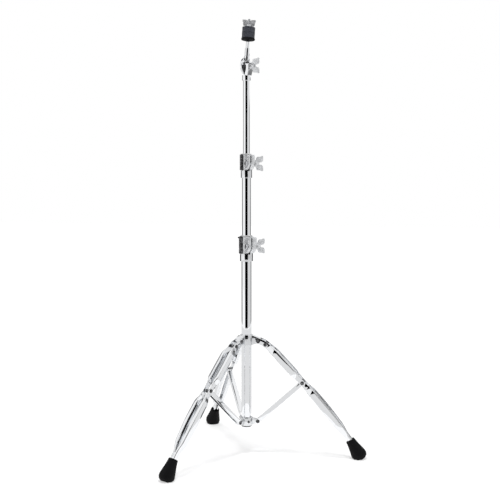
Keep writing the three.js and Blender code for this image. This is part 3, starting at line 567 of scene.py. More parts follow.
def finish_of(kind):
    """The finished material of that name, made when first asked for."""
    colour_name, _, make = FINISHES[kind]
    tone = getattr(bpy.context.scene.stand_finishes, colour_name)
    return bpy.data.materials.get(kind) or make(Finish(kind, tone))


# Operators, one for each group of pieces


class STAND_OT_tubes(bpy.types.Operator):
    """Makes the three tubes of the column and the plug"""

    bl_idname = "stand.tubes"
    bl_label = "Tubes"

    PLUG_RIM, MIDDLE_LENGTH, UPPER_LENGTH = 2.5, 460, 483

    def execute(self, context):
        sizes = values_of("stand_column")
        wall = sizes.wall
        for node, radius, low, high, body in (
            ("base_tube", sizes.base_radius, self.PLUG_RIM, sizes.base_top, "column"),
            ("middle_tube", sizes.middle_radius, sizes.middle_top - self.MIDDLE_LENGTH, sizes.middle_top, "middle"),
            ("upper_tube", sizes.upper_radius, sizes.upper_top - self.UPPER_LENGTH, sizes.upper_top, "upper"),
        ):
            tube = sleeve(radius, radius - wall, low, high, (0.4, 0.4))
            build(f"{node}_polished", [tube], "drawn_chrome", body, [node])
        inner = sizes.base_radius - wall - 0.3
        plug = lathe([
            (0, 0), (sizes.base_radius, 0), (sizes.base_radius, 2.2), (inner, 2.2), (inner, 16.2),
            (inner - 2.4, 16.2), (inner - 2.4, 0.8), (0, 0.8),
        ], [0, 0.7, 0.2, 0.2, 0.4, 0.3, 0.2, 0])
        build("end_plug_moulded", [plug], "black_nylon", "column", ["base_tube_end_plug"])
        return {"FINISHED"}


CLAMPS = {
    "lower": SimpleNamespace(
        height=496.0, bore=14.6, tube=14.3, inner=12.7, sleeve=18.75, below=22.5, body=48.0, bolt=21.2, knuckle=6.0,
        lip=24.6, ear=36.0, fixed=16.0, jaw=10.0, reach=27.5,
        bodies=("column", "lower_jaw", "lower_nut", "lower_bushing"),
    ),
    "upper": SimpleNamespace(
        height=728.5, bore=13.0, tube=12.7, inner=9.525, sleeve=16.0, below=22.0, body=43.0, bolt=18.0, knuckle=5.2,
        lip=18.4, ear=29.5, fixed=13.0, jaw=9.0, reach=22.5,
        bodies=("middle", "upper_jaw", "upper_nut", "upper_bushing"),
    ),
}
# Outlines as shares: of the ear's reach and the body's height, and of half the nut's span and its length
EAR_SHARES = [
    (0.3, 0.02), (0.5, 0.02), (0.62, 0.06), (0.86, 0.2), (0.97, 0.3), (1, 0.4),
    (1, 0.86), (0.97, 0.94), (0.9, 0.98), (0.3, 0.98),
]
WING_SHARES = [
    (0.3, 0.05), (0.44, 0.15), (0.56, 0.24), (0.76, 0.27), (0.86, 0.38), (0.88, 0.64),
    (0.95, 0.82), (0.985, 0.92), (0.93, 0.985), (0.8, 0.99), (0.4, 0.975), (0.22, 0.88), (0.15, 0.7), (0.12, 0.53),
]
# Half the split between the ears, and the relief hole's radius
SLIT = 1.25
RELIEF = 3.1
# Degrees: the hinge from the split, the split in the frame, and the finer stretch on each side of the split
HINGE_TURN = -75
SPLIT_TURN = -55
FINE_STRETCH = 12
# Space before a nut, and the height of a nut's hub as a share of the nut's length
NUT_SPACE = 0.6
HUB_SHARE = 0.48
CLAMP_NUT = dict(span=43, length=26.4, hub=6.6, flange=8.4, thickness=5.2, bore=4.1)
CYMBAL_NUT = dict(span=38, length=22.4, hub=6.2, flange=8.6, thickness=4.6, bore=4.3)


def wing_nut(span, length, hub, flange, thickness, bore):
    """Wing nut along Y with its face at zero: a turned hub, two lobes with a smooth outline, and ribs across them."""
    foot, top = length * 0.08, length * HUB_SHARE
    body = crosswise(lathe([
        (bore, 0), (flange, 0), (flange, foot), (hub, foot * 2), (hub * 0.9, top - foot / 2), (hub * 0.75, top),
        (bore, top),
    ], [0.3, 0.5, 0.6, 2, 1.2, 0.8, 0.3], 48, True, 5))
    lobe = np.vstack([[(0, 0.08)], smooth_line(WING_SHARES, 5)[0], [(0, 0.42)]]) * [span / 2, length]
    plates = []
    for side in (-1, 1):
        plates.append(slab(lobe * [side, 1], -thickness / 2, thickness / 2, 0.7))
        for rib in range(4):
            x = side * span * (0.16 + 0.075 * rib)
            low, high = length * (0.4 + 0.03 * rib), length * 0.88
            outline = rounded([(x - 0.6, low), (x + 0.6, low), (x + 0.6, high), (x - 0.6, high)], 0.5, 3)
            plates.append(slab(outline, -thickness / 2 - 0.55, thickness / 2 + 0.55, 0.5, 3))
    return [body] + [turn(turn(plate, "X", -90), "Y", 90) for plate in plates]


def relieved(made, above):
    """A ring's rim cut by the round hole at the foot of the split: its height can't pass root(r^2 - y^2)."""
    points = made[0].copy()
    dip = np.sqrt(np.maximum(RELIEF ** 2 - points[:, 1] ** 2, 0)) * (points[:, 0] > 0)
    points[:, 2] = np.maximum(points[:, 2], dip) if above else np.minimum(points[:, 2], -dip)
    return points, made[1], made[2]


def clamp_pieces(c):
    """Shells of one height clamp in its own frame: split along +X, bolt along +Y, foot of the jaw at zero height."""
    ear = rounded([(r * c.ear, h * c.body) for r, h in EAR_SHARES], 2.5, 5)
    hinge_radius, hinge_turn = c.sleeve + 1.2, math.radians(HINGE_TURN)
    at_hinge = lambda made: shift(made, hinge_radius * math.cos(hinge_turn), hinge_radius * math.sin(hinge_turn))
    slit = math.degrees(math.asin(SLIT / c.sleeve))
    gap = math.degrees(0.5 / c.sleeve)
    knuckle = c.body * 0.3
    fine, hinge = FINE_STRETCH, HINGE_TURN
    round_all = np.concatenate([np.linspace(-fine, fine, 33), np.linspace(fine, 360 - fine, 90)[1:-1]])
    fixed_part = np.concatenate([np.linspace(slit, fine, 14), np.linspace(fine, 360 + hinge, 76)[1:]])
    moving_part = np.concatenate([np.linspace(hinge + gap, -fine, 40), np.linspace(-fine, -slit, 14)[1:]])
    lip_root, lip_top = c.sleeve - 1.2, c.body - 0.6
    lip = rounded([
        (lip_root, c.body - 10), (c.sleeve, c.body - 10), (c.lip, c.body - 4.4), (c.lip, c.body - 3.2),
        (c.sleeve, lip_top), (lip_root, lip_top),
    ], [0.2, 1.5, 0.5, 0.5, 0.8, 0.2], 4)
    at_bolt = lambda made, y=0.0: shift(made, c.reach, y, c.bolt)
    face = -c.jaw - 0.3
    end = c.fixed + NUT_SPACE + CLAMP_NUT["length"] * HUB_SHARE + 1
    flange, top = c.sleeve - 2.4, c.body + 0.3
    return dict(
        body=[relieved(sleeve(c.sleeve, c.bore, -c.below, 0, (1.2, 0.3), angles=round_all), False)],
        shoulder=[
            relieved(sleeve(c.sleeve, c.bore, 0, c.body, (0.01, 1.2), angles=fixed_part), True),
            slab(ear, SLIT, c.fixed, 2.0),
        ],
        barrels=[
            turn(slab(lip, -2, 2, 0.8), "Z", -115),
            at_hinge(post(c.knuckle, 0, knuckle - 0.15, 0.8)),
            at_hinge(post(c.knuckle, c.body - knuckle, c.body - 0.15, 1.0)),
        ],
        # Thin black sector just inside the bore at the split, where sleeve and tube part: a painted shadow of the gap
        painted_gap_shadow=[sleeve(c.bore - 0.05, c.bore - 0.25, -3.6, 3.6, (0.05, 0.05), angles=np.linspace(-15, 15, 13))],
        jaw=[
            relieved(sleeve(c.sleeve, c.bore, 0.5, c.body, (0.8, 1.2), angles=moving_part), True),
            slab(ear, -c.jaw, -SLIT, 2.0),
        ],
        middle_barrel=[at_hinge(post(c.knuckle, knuckle + 0.15, c.body - knuckle - 0.15, 0.6))],
        hinge_pin=[
            at_hinge(post(2, -1.6, c.body + 1.0, 0.4, 24)), at_hinge(post(3, c.body + 0.3, c.body + 1.9, 0.7, 32)),
        ],
        bolt=[at_bolt(made) for made in (
            crosswise(post(3.8, face - 1, end, 0.6, 32)),
            slab(rounded(arc(0, 0, 7, 0, 300, 6), 0.4, 2), face - 5, face, 0.6),
            crosswise(post(8.2, face - 0.1, face + 0.25, 0.1, 40)),
        )],
        bushing=[lathe([
            (c.inner + 0.35, 2.3), (c.tube, 2.3), (c.tube, top), (flange, top), (flange, top + 2.2),
            (c.inner + 0.35, top + 2.2),
        ], [0.2, 0.3, 0.1, 0.3, 0.9, 0.3], ring=True, angles=np.linspace(184, 536, 97))],
        wing_nut=[at_bolt(made, c.fixed + NUT_SPACE) for made in wing_nut(**CLAMP_NUT)],
    )


class STAND_OT_clamps(bpy.types.Operator):
    """Makes both height clamps: body, jaw, pin, bolt, bushing and wing nut"""

    bl_idname = "stand.clamps"
    bl_label = "Height clamps"

    def execute(self, context):
        for prefix, c in CLAMPS.items():
            carrier, jaw_body, nut_body, bushing_body = c.bodies
            part = {
                key: [shift(turn(made, "Z", SPLIT_TURN), 0, 0, c.height) for made in group]
                for key, group in clamp_pieces(c).items()
            }
            for key, word, finish, body, more in (
                # The body also carries the black sector in the split, which is a painted shadow of the gap
                ("body", "cast", "cast_chrome", carrier, (
                    ("shoulder", "satin_casting"), ("barrels", "dark_barrel"), ("painted_gap_shadow", "black_nylon"),
                )),
                ("jaw", "cast", "satin_casting", jaw_body, (("middle_barrel", "dark_barrel"),)),
                ("hinge_pin", "drawn", "zinc_steel", carrier, ()),
                ("bolt", "turned", "zinc_steel", jaw_body, ()),
                ("bushing", "moulded", "pale_nylon", bushing_body, ()),
                ("wing_nut", "cast", "satin_casting", nut_body, ()),
            ):
                node = f"{prefix}_clamp_{key}"
                more = [(part[other], other_finish) for other, other_finish in more]
                build(f"{node}_{word}", part[key], finish, body, [node], more=more)
        return {"FINISHED"}


# Bore and outer radius of both collars
BORE = 14.65
COLLAR_RADIUS = 18.5


def collar_shells(low, high, ear_half, ear_radius, pivot, pivot_height):
    """Ring with rounded rims and three ears, each a slab with a round end on its pin."""
    root = (BORE + COLLAR_RADIUS) / 2
    ear = np.vstack([[(root, low + 1.2)], arc(pivot, pivot_height, ear_radius, -80, 80), [(root, high - 1.2)]])
    ears = [turn(slab(ear, -ear_half, ear_half, 1.1), "Z", at) for at in LEG_TURNS]
    return [sleeve(COLLAR_RADIUS, BORE, low, high, (1.3, 1.3))] + ears


def radial_stud(radius, head, out, height, azimuth, start=14.45, face=18.8):
    """Screw or rivet along a radius: a shank and a domed head."""
    made = [
        post(radius, start, face + 0.5, 0.2, 24),
        lathe([(0, face), (head, face), (head, out - 0.6), (head * 0.7, out), (0, out)], [0, 0.2, 0.6, 0.6, 0], 40),
    ]
    return [shift(turn(turn(part, "Y", 90), "Z", azimuth), 0, 0, height) for part in made]


class STAND_OT_collars(bpy.types.Operator):
    """Makes the leg collar and the stay collar with their fixings"""

    bl_idname = "stand.collars"
    bl_label = "Collars"

    def execute(self, context):
        sizes = values_of("stand_legs")
        leg = collar_shells(235.5, 265.5, 8.5, 8.3, sizes.pivot_radius, sizes.leg_pivot_height)
        build("leg_collar_cast", leg, "cast_chrome", "sliding_collar", ["leg_collar"])
        screw = radial_stud(2.5, 4, 25.8, 250.5, 60)
        build("leg_collar_screw_turned", screw, "zinc_steel", "sliding_collar", ["leg_collar_screw"])
        stay = collar_shells(5.0, 27.0, 4.6, 6.6, sizes.pivot_radius, sizes.stay_pivot_height)
        build("stay_collar_cast", stay, "cast_chrome", "column", ["stay_collar"])
        rivet = radial_stud(2.2, 3.6, 20.6, 16.0, -60)
        build("stay_collar_rivet_headed", rivet, "dark_barrel", "column", ["stay_collar_rivet"])
        return {"FINISHED"}


def waist_of(sizes):
    """Place of a leg's waist rivet in the leg's plane, halfway in height between the two collars' pins."""
    return sizes.waist_radius, (sizes.leg_pivot_height + sizes.stay_pivot_height) / 2


def build_on_legs(*rows):
    """Builds pieces drawn for the first leg on each leg: rows of name, shells, finish, body and node.

    A # in the words stands for the leg's number.
    """
    for number, at in enumerate(LEG_TURNS, 1):
        for name, shells, finish, body, node in rows:
            name, body, node = (word.replace("#", str(number)) for word in (name, body, node))
            build(name, [turn(made, "Z", at) for made in shells], finish, body, [node])


def leg_stations(sizes):
    """Stations along a leg: place in its plane, depth, half width and flange width."""
    hinge, waist_wide, spread, boot_wide, slot = 10.5, 10.6, 18.3, 7.2, 7.1
    deep = SimpleNamespace(hinge=16.0, upper=19.0, waist=15.0, lower=21.0, boot=14.0)
    flat = sizes.sheet * 1.1
    pivot = (sizes.pivot_radius, sizes.leg_pivot_height)
    waist = waist_of(sizes)
    near = waist_wide + (spread - waist_wide) * 0.97
    open_end = waist_wide + (spread - waist_wide) * 0.15
    low_end = boot_wide + (spread - boot_wide) * 0.8
    above, below = (146, 148.4), (174.5, 119)
    towards = lambda target: tuple(a + (b - a) * 0.36 for a, b in zip(waist, target))
    rows = [
        (pivot, deep.hinge, hinge, flat),
        ((50, 242.8), deep.hinge, hinge, flat),
        ((62, 234), deep.hinge, hinge, flat),
        ((82, 216.5), deep.hinge * 0.2 + deep.upper * 0.8, near, near - slot),
        ((111, 185.6), deep.upper, spread, spread - slot),
        ((133, 162.2), deep.upper, near, near - slot),
        (above, deep.waist * 0.6 + deep.upper * 0.4, open_end, open_end - slot - sizes.sheet / 2),
        (towards(above), deep.waist, waist_wide, flat),
        (waist, deep.waist, waist_wide, flat),
        (towards(below), deep.waist, waist_wide, flat),
        (below, deep.waist * 0.65 + deep.lower * 0.35, open_end, open_end - slot - sizes.sheet / 2),
        ((190, 102.5), deep.waist * 0.15 + deep.lower * 0.85, near, near - slot),
        ((225, 62), deep.lower, spread, spread - slot),
        ((262, 16.5), deep.boot * 0.15 + deep.lower * 0.85, low_end, low_end - slot),
        ((286.5, -14), deep.boot, boot_wide, boot_wide - sizes.sheet),
        ((302, -33), deep.boot, boot_wide, boot_wide - sizes.sheet),
    ]
    return [np.array(column, float) for column in zip(*rows)]


def channel_bar(sizes, side, per_span=8):
    """One stamped channel: a C section with rounded corners, carried along the leg's smooth line.

    Its depth, width and flanges change on the way.
    """
    places, depth, width, flange = leg_stations(sizes)
    place, along = smooth_line(places, per_span)
    half, w, f = (ease(v, per_span)[:, None] for v in (depth / 2, width, flange))
    sheet = sizes.sheet
    free, web = w - f, w - sheet
    corners = np.stack([
        np.hstack([free, w, w, free, free, web, web, free]),
        np.hstack([-half, -half, half, half, half - sheet, half - sheet, sheet - half, sheet - half]),
    ], -1)
    soft = np.minimum(2.4, f / 2)
    tip = np.full_like(soft, sheet * 0.3)
    inner = np.maximum(soft - sheet, 0.15)
    radii = np.hstack([tip, soft, soft, tip, tip, inner, inner, tip])
    a = np.roll(corners, 1, 1) - corners
    b = np.roll(corners, -1, 1) - corners
    size_a, size_b = (np.linalg.norm(v, axis=-1) for v in (a, b))
    a, b = a / size_a[..., None], b / size_b[..., None]
    r = np.minimum(radii, 0.45 * np.minimum(size_a, size_b))[..., None, None]
    t = np.linspace(0, np.pi / 2, 5)[:, None]
    a, b = a[:, :, None], b[:, :, None]
    section = (corners[:, :, None] + r * (a + b) - r * (b * np.cos(t) + a * np.sin(t))).reshape(len(place), -1, 2)
    y, n = section[..., 0] * side, section[..., 1]
    x = place[:, :1] - along[:, 1:] * n
    z = place[:, 1:] + along[:, :1] * n
    return grid(np.stack([x, y, z], -1), caps=True)


def pin_shell(x, z, half_grip, shoulder=0.0):
    """Pin across a leg with a domed head at each end and, if asked, a spacer between the channels."""
    face = half_grip + 0.3
    half = [(0, face + 2.2), (3.2, face + 2.2), (5.4, face + 0.5), (5.4, face), (3, face)]
    radii = [0, 1.4, 0.6, 0.2, 0.1]
    if shoulder:
        half += [(3, half_grip - 1.8), (shoulder, half_grip - 1.8)]
        radii += [0.1, 0.4]
    profile = half + [(r, -y) for r, y in half[::-1]]
    return crosswise(lathe(profile, radii + radii[::-1], 40), x, z)


class STAND_OT_legs(bpy.types.Operator):
    """Makes the pairs of channels of the legs with their pins and rivets"""

    bl_idname = "stand.legs"
    bl_label = "Legs"

    TOP_RIVET = (55.4, 238.84)

    def execute(self, context):
        sizes = values_of("stand_legs")
        pivot = (sizes.pivot_radius, sizes.leg_pivot_height)
        rows = []
        for side, word in ((1, "left"), (-1, "right")):
            low, high = sorted((side * 9.0, side * 10.5))
            eye = crosswise(post(8, low, high, 0.4, 48), *pivot)
            bar = f"leg_#_bar_{word}"
            rows.append((f"{bar}_stamped", [channel_bar(sizes, side), eye], "drawn_chrome", "leg_#", bar))
        for pin, made in (
            ("leg_#_hinge_pin", pin_shell(*pivot, 10.5)), ("leg_#_top_rivet", pin_shell(*self.TOP_RIVET, 10.5, 4.6)),
            ("leg_#_waist_rivet", pin_shell(*waist_of(sizes), 10.6)),
        ):
            rows.append((f"{pin}_headed", [made], "dark_barrel", "leg_#", pin))
        build_on_legs(*rows)
        return {"FINISHED"}


class STAND_OT_stays(bpy.types.Operator):
    """Makes the stays and their pins"""

    bl_idname = "stand.stays"
    bl_label = "Stays"

    def execute(self, context):
        sizes = values_of("stand_legs")
        pivot = (sizes.pivot_radius, sizes.stay_pivot_height)
        run = np.array(waist_of(sizes)) - np.array(pivot)
        reach, slope = float(np.hypot(*run)), math.degrees(math.atan2(run[1], run[0]))
        outline = np.vstack([arc(reach, 0, 6.3, -90, 90), arc(0, 0, 6.3, 90, 270)])
        web = slab([(13, 4.8), (reach - 13, 4.8), (reach - 13, 6.3), (13, 6.3)], -6.2, 6.2, 0.6)
        flat = [slab(outline, 4.9, 6.4, 0.5), slab(outline, -6.4, -4.9, 0.5), web]
        strut = [shift(turn(made, "Y", -slope), pivot[0], 0, pivot[1]) for made in flat]
        build_on_legs(
            ("leg_#_stay_stamped", strut, "drawn_chrome", "stay_#", "leg_#_stay"),
            ("leg_#_stay_pin_headed", [pin_shell(*pivot, 6.4)], "dark_barrel", "column", "leg_#_stay_pin"),
        )
        return {"FINISHED"}


# Outline of a boot: shares of its length and of its greatest radius
BOOT_SHARES = [
    (0, 0.565), (0.02, 0.6), (0.12, 0.63), (0.3, 0.73), (0.55, 0.9), (0.7, 0.995), (0.8, 0.985), (0.9, 0.85),
    (0.97, 0.56),
]


class STAND_OT_boots(bpy.types.Operator):
    """Makes the rubber boots"""

    bl_idname = "stand.boots"
    bl_label = "Rubber boots"

    RADIUS, LENGTH, MOUTH = 21.6, 64.5, (295.3, -25.2)

    def execute(self, context):
        sizes = values_of("stand_legs")
        outline = [(r * self.RADIUS, -s * self.LENGTH) for s, r in BOOT_SHARES]
        boot = lathe([(0, -4), (8, -4), (8.6, 0)] + outline + [(0, -self.LENGTH)], 3.0, 96, steps=6)
        x, z = self.MOUTH
        points, quads, others = shift(turn(boot, "Y", -(90 - sizes.boot_slope)), x, 0, z)
        points[:, 2] = np.maximum(points[:, 2], sizes.floor_height)
        boot = (points, quads, others)
        build_on_legs(("leg_#_boot_moulded", [boot], "black_rubber", "leg_#", "leg_#_rubber_foot"))
        return {"FINISHED"}


def on_tilter(shells, sizes, leaning=False):
    """Shells drawn round the tilter's bolt along Y, set at its azimuth and height, leaned over if the rod has them."""
    if leaning:
        shells = [turn(made, "Y", -sizes.rod_lean) for made in shells]
    return [shift(turn(made, "Z", sizes.tilter_azimuth - 90), 0, 0, sizes.tilter_height) for made in shells]


class STAND_OT_tilter(bpy.types.Operator):
    """Makes the tilter: standing half, turning half, washer, bolt, pin and wing nut"""

    bl_idname = "stand.tilter"
    bl_label = "Tilter"

    DISC, TONGUE, NEAR, FAR = 24.0, 12.5, 1.1, 13.7
    SOCKET_LOW, SOCKET_HIGH = -39.9, -24.9
    BOLT_HOLE, NUT_FACE = 4.1, 14.0

    def execute(self, context):
        sizes = values_of("stand_top")
        low, high, hole = self.SOCKET_LOW, self.SOCKET_HIGH, self.BOLT_HOLE
        socket = lathe([
            (0, low + 9), (9.825, low + 9), (9.825, low), (12, low), (12, high), (0, high),
        ], [0, 0.3, 0.3, 1.2, 1.2, 0], 96)
        disc = crosswise(lathe([
            (hole, -6.5), (10.5, -6.5), (10.5, -4.7), (19, -4.7), (19, -6.5), (self.DISC, -6.5),
            (self.DISC, -self.NEAR), (hole, -self.NEAR),
        ], [0.3, 0.6, 0.5, 0.5, 0.6, 1.2, 1.2, 0.3], 96, True))
        bolt_head = lathe([
            (0, -11.2), (5.2, -11.2), (7.4, -9.4), (7.4, -6.8), (0, -6.8),
        ], [0, 2, 1, 0.3, 0], 48, steps=5)
        roll_pin = crosswise(post(1.6, -12, 12, 0.3, 20), 0, -34)
        nut = [shift(made, 0, self.NUT_FACE, 0) for made in wing_nut(**CLAMP_NUT)]
        for name, shells, finish, body, node in (
            ("tilter_base_cast", [socket, self.tongue()], "drawn_chrome", "upper", "tilter_base"),
            ("tilter_head_cast", [disc, post(8.2, 14.4, 27, 1.2, 64)], "drawn_chrome", "rod", "tilter_head"),
            (
                "tilter_washer_pressed", [crosswise(sleeve(11.5, hole, -0.8, 0.8, (0.3, 0.3), 64))], "black_nylon",
                "upper", "tilter_friction_washer",
            ),
            (
                "tilter_bolt_turned", [crosswise(post(3.8, -8, 28, 0.6, 32)), crosswise(bolt_head)], "zinc_steel",
                "upper", "tilter_bolt",
            ),
            ("tilter_roll_pin_drawn", [roll_pin], "zinc_steel", "upper", "tilter_roll_pin"),
            ("tilter_wing_nut_cast", nut, "satin_casting", "tilter_nut", "tilter_wing_nut"),
        ):
            # The tilter's two halves are castings, polished like the tubes
            slot = "chrome_casting" if finish == "drawn_chrome" else None
            build(name, on_tilter(shells, sizes, body == "rod"), finish, body, [node], slot)
        return {"FINISHED"}

    def tongue(self):
        """Round-topped plate, level on top and sloping to the socket.

        Its thickness falls with height: y is scaled by a table of thickness over z.
        """
        top = arc(0, 0, self.TONGUE, 0, 88.5, 20)
        low = self.SOCKET_HIGH - 1
        right = np.vstack([[(11, low), (11, low + 1), (11.3, -20), (11.8, -12), (12, -8), (12.3, -3)], top])
        outline = np.vstack([right, right[::-1] * [-1, 1]])
        points, quads, others = slab(outline, self.NEAR, self.FAR, 1.2, strips=True)
        thick = np.interp(points[:, 2], [low, self.SOCKET_HIGH, -12, -8], [0.72, 0.74, 0.98, 1.0])
        points[:, 1] = self.NEAR + (points[:, 1] - self.NEAR) * thick
        return points, quads, others


def threaded(radius, depth, pitch, low, high, segments=48):
    """Screw thread: the radius falls by depth times a rounded saw of (height / pitch - angle / one turn)."""
    t = np.linspace(0, 2 * np.pi, segments, endpoint=False)
    z = np.arange(low, high + 1e-6, pitch / 8)[:, None]
    phase = (z / pitch - t / (2 * np.pi)) % 1.0
    ends = np.clip((high - z) / 1.2, 0, 1)
    r = radius - depth * (1 - np.abs(2 * phase - 1)) - (1 - ends)
    points = np.stack([r * np.cos(t), r * np.sin(t), np.broadcast_to(z, r.shape)], -1)
    return grid(points, caps=True)


class STAND_OT_rod(bpy.types.Operator):
    """Makes the cymbal rod, its washer, sleeve and wing nut"""

    bl_idname = "stand.rod"
    bl_label = "Cymbal rod"

    NUT_HEIGHT = 105.3

    def execute(self, context):
        sizes = values_of("stand_top")
        stem = lathe([
            (0, 22), (5, 22), (5, 27.3), (6.8, 27.3), (6.8, 49.5), (5, 49.5), (5, 71.7), (3.9, 71.7), (3.9, 78),
            (0, 78),
        ], [0, 0.3, 0.1, 0.5, 1.2, 0.2, 0.6, 0.1, 0.1, 0], 64)
        thread = threaded(4.0, 0.55, sizes.thread_pitch, 76, 130)
        upright = [turn(turn(made, "X", 90), "Z", 30) for made in wing_nut(**CYMBAL_NUT)]
        nut = [shift(made, 0, 0, self.NUT_HEIGHT) for made in upright]
        for name, shells, finish, body, node in (
            ("cymbal_rod_threaded", [stem, thread], "drawn_chrome", "rod", "cymbal_rod"),
            ("seat_washer_moulded", [sleeve(19, 4.3, 72, 76, (1.3, 0.8), 80)], "black_nylon", "rod", "seat_washer"),
            ("seat_sleeve_moulded", [sleeve(6, 4.3, 76.3, 103, (0.4, 0.4), 48)], "black_nylon", "rod", "seat_sleeve"),
            ("cymbal_wing_nut_cast", nut, "satin_casting", "rod_nut", "cymbal_wing_nut"),
        ):
            build(name, on_tilter(shells, sizes, True), finish, body, [node])
        return {"FINISHED"}


class STAND_OT_felts(bpy.types.Operator):
    """Makes the two pressed felts"""

    bl_idname = "stand.felts"
    bl_label = "Felts"

    def execute(self, context):
        sizes = values_of("stand_top")
        for node, low, body, lift in (("lower_felt", 76.3, "rod", 0.0), ("upper_felt", 90.8, "top_felt", 2.2)):
            shells = on_tilter([self.felt(sizes, low, lift)], sizes, True)
            piece = build(f"{node}_pressed", shells, "grey_felt", body, [node])
        return {"FINISHED"}

    @staticmethod
    def felt(sizes, low, lift):
        """Thick ring with crisp rims and a slightly waisted side, roughened by sums of sines of angle and height.

        Its top curls up by lift times the fourth power of the radius.
        """
        radius, high = sizes.felt_radius, low + sizes.felt_height
        middle = (low + high) / 2
        corners = [
            (6.4, low), (radius - 0.1, low), (radius - 0.5, middle), (radius - 0.1, high), (13, high), (9, high),
            (6.4, high),
        ]
        points, quads, others = lathe(corners, [0.8, 1.0, 12, 0.9, 6, 6, 0.8], 160, True, 8)
        turned_by, height = np.arctan2(points[:, 1], points[:, 0]), points[:, 2]
        share = np.hypot(points[:, 0], points[:, 1]) / radius
        rough = sum(np.sin(k * turned_by + 1.7 * k + height * (0.4 + 0.23 * k)) / k for k in (5, 9, 14, 23, 37))
        scale = 1 + 0.004 * rough * np.clip(share, 0, 1) ** 3 - 0.006
        height = height + lift * share ** 4 * np.clip((height - middle) / (high - middle), 0, 1)
        return np.stack([points[:, 0] * scale, points[:, 1] * scale, height], 1), quads, others


# Lengths of the stage are in metres
# Cards: name, degrees round from the camera, height of the top, half angles at foot and top, tones at foot and top
CARDS = (
    ("dark_card", 0.0, 2.4, (30.0, 38.0), (0.0, 0.0)),
    ("left_flag", -128.0, 2.4, (23.0, 23.0), (0.06, 0.3)),
    ("right_flag", 128.0, 1.21, (23.0, 23.0), (0.12, 0.3)),
    ("right_card", 62.0, 2.4, (36.0, 36.0), (0.74, 0.8)),
)
CARD_DISTANCE = 2.35
CARD_FOOT = -0.07
# Between these heights a card's tone goes from that of its foot to that of its top
CARD_FADE = (0.3, 1.1)
# Level discs: name, height, inner and outer radius, tone
DISCS = (
    ("dark_ceiling", 1.5, 0.0, 0.36, 0.02),
    ("grey_apron", -0.0765, 0.36, 2.3, 0.84),
)
# Lamp: size, place towards the camera, to its right and in height, and the height on the column that it is aimed at
LAMP_SIZE = 0.5
LAMP_PLACE = (0.35, 0.05, 2.6)
LAMP_AIM = 0.2
FLOOR_HALF = 9
FLOOR_COLOUR = (0.93, 0.93, 0.935, 1)
FLOOR_GLOW = 1.1
# Share of the glow beside the stand and what is added to it further off, and the distances between which that grows
GLOW_SHARES = (0.45, 0.5)
GLOW_SPAN = (0.5, 1.5)


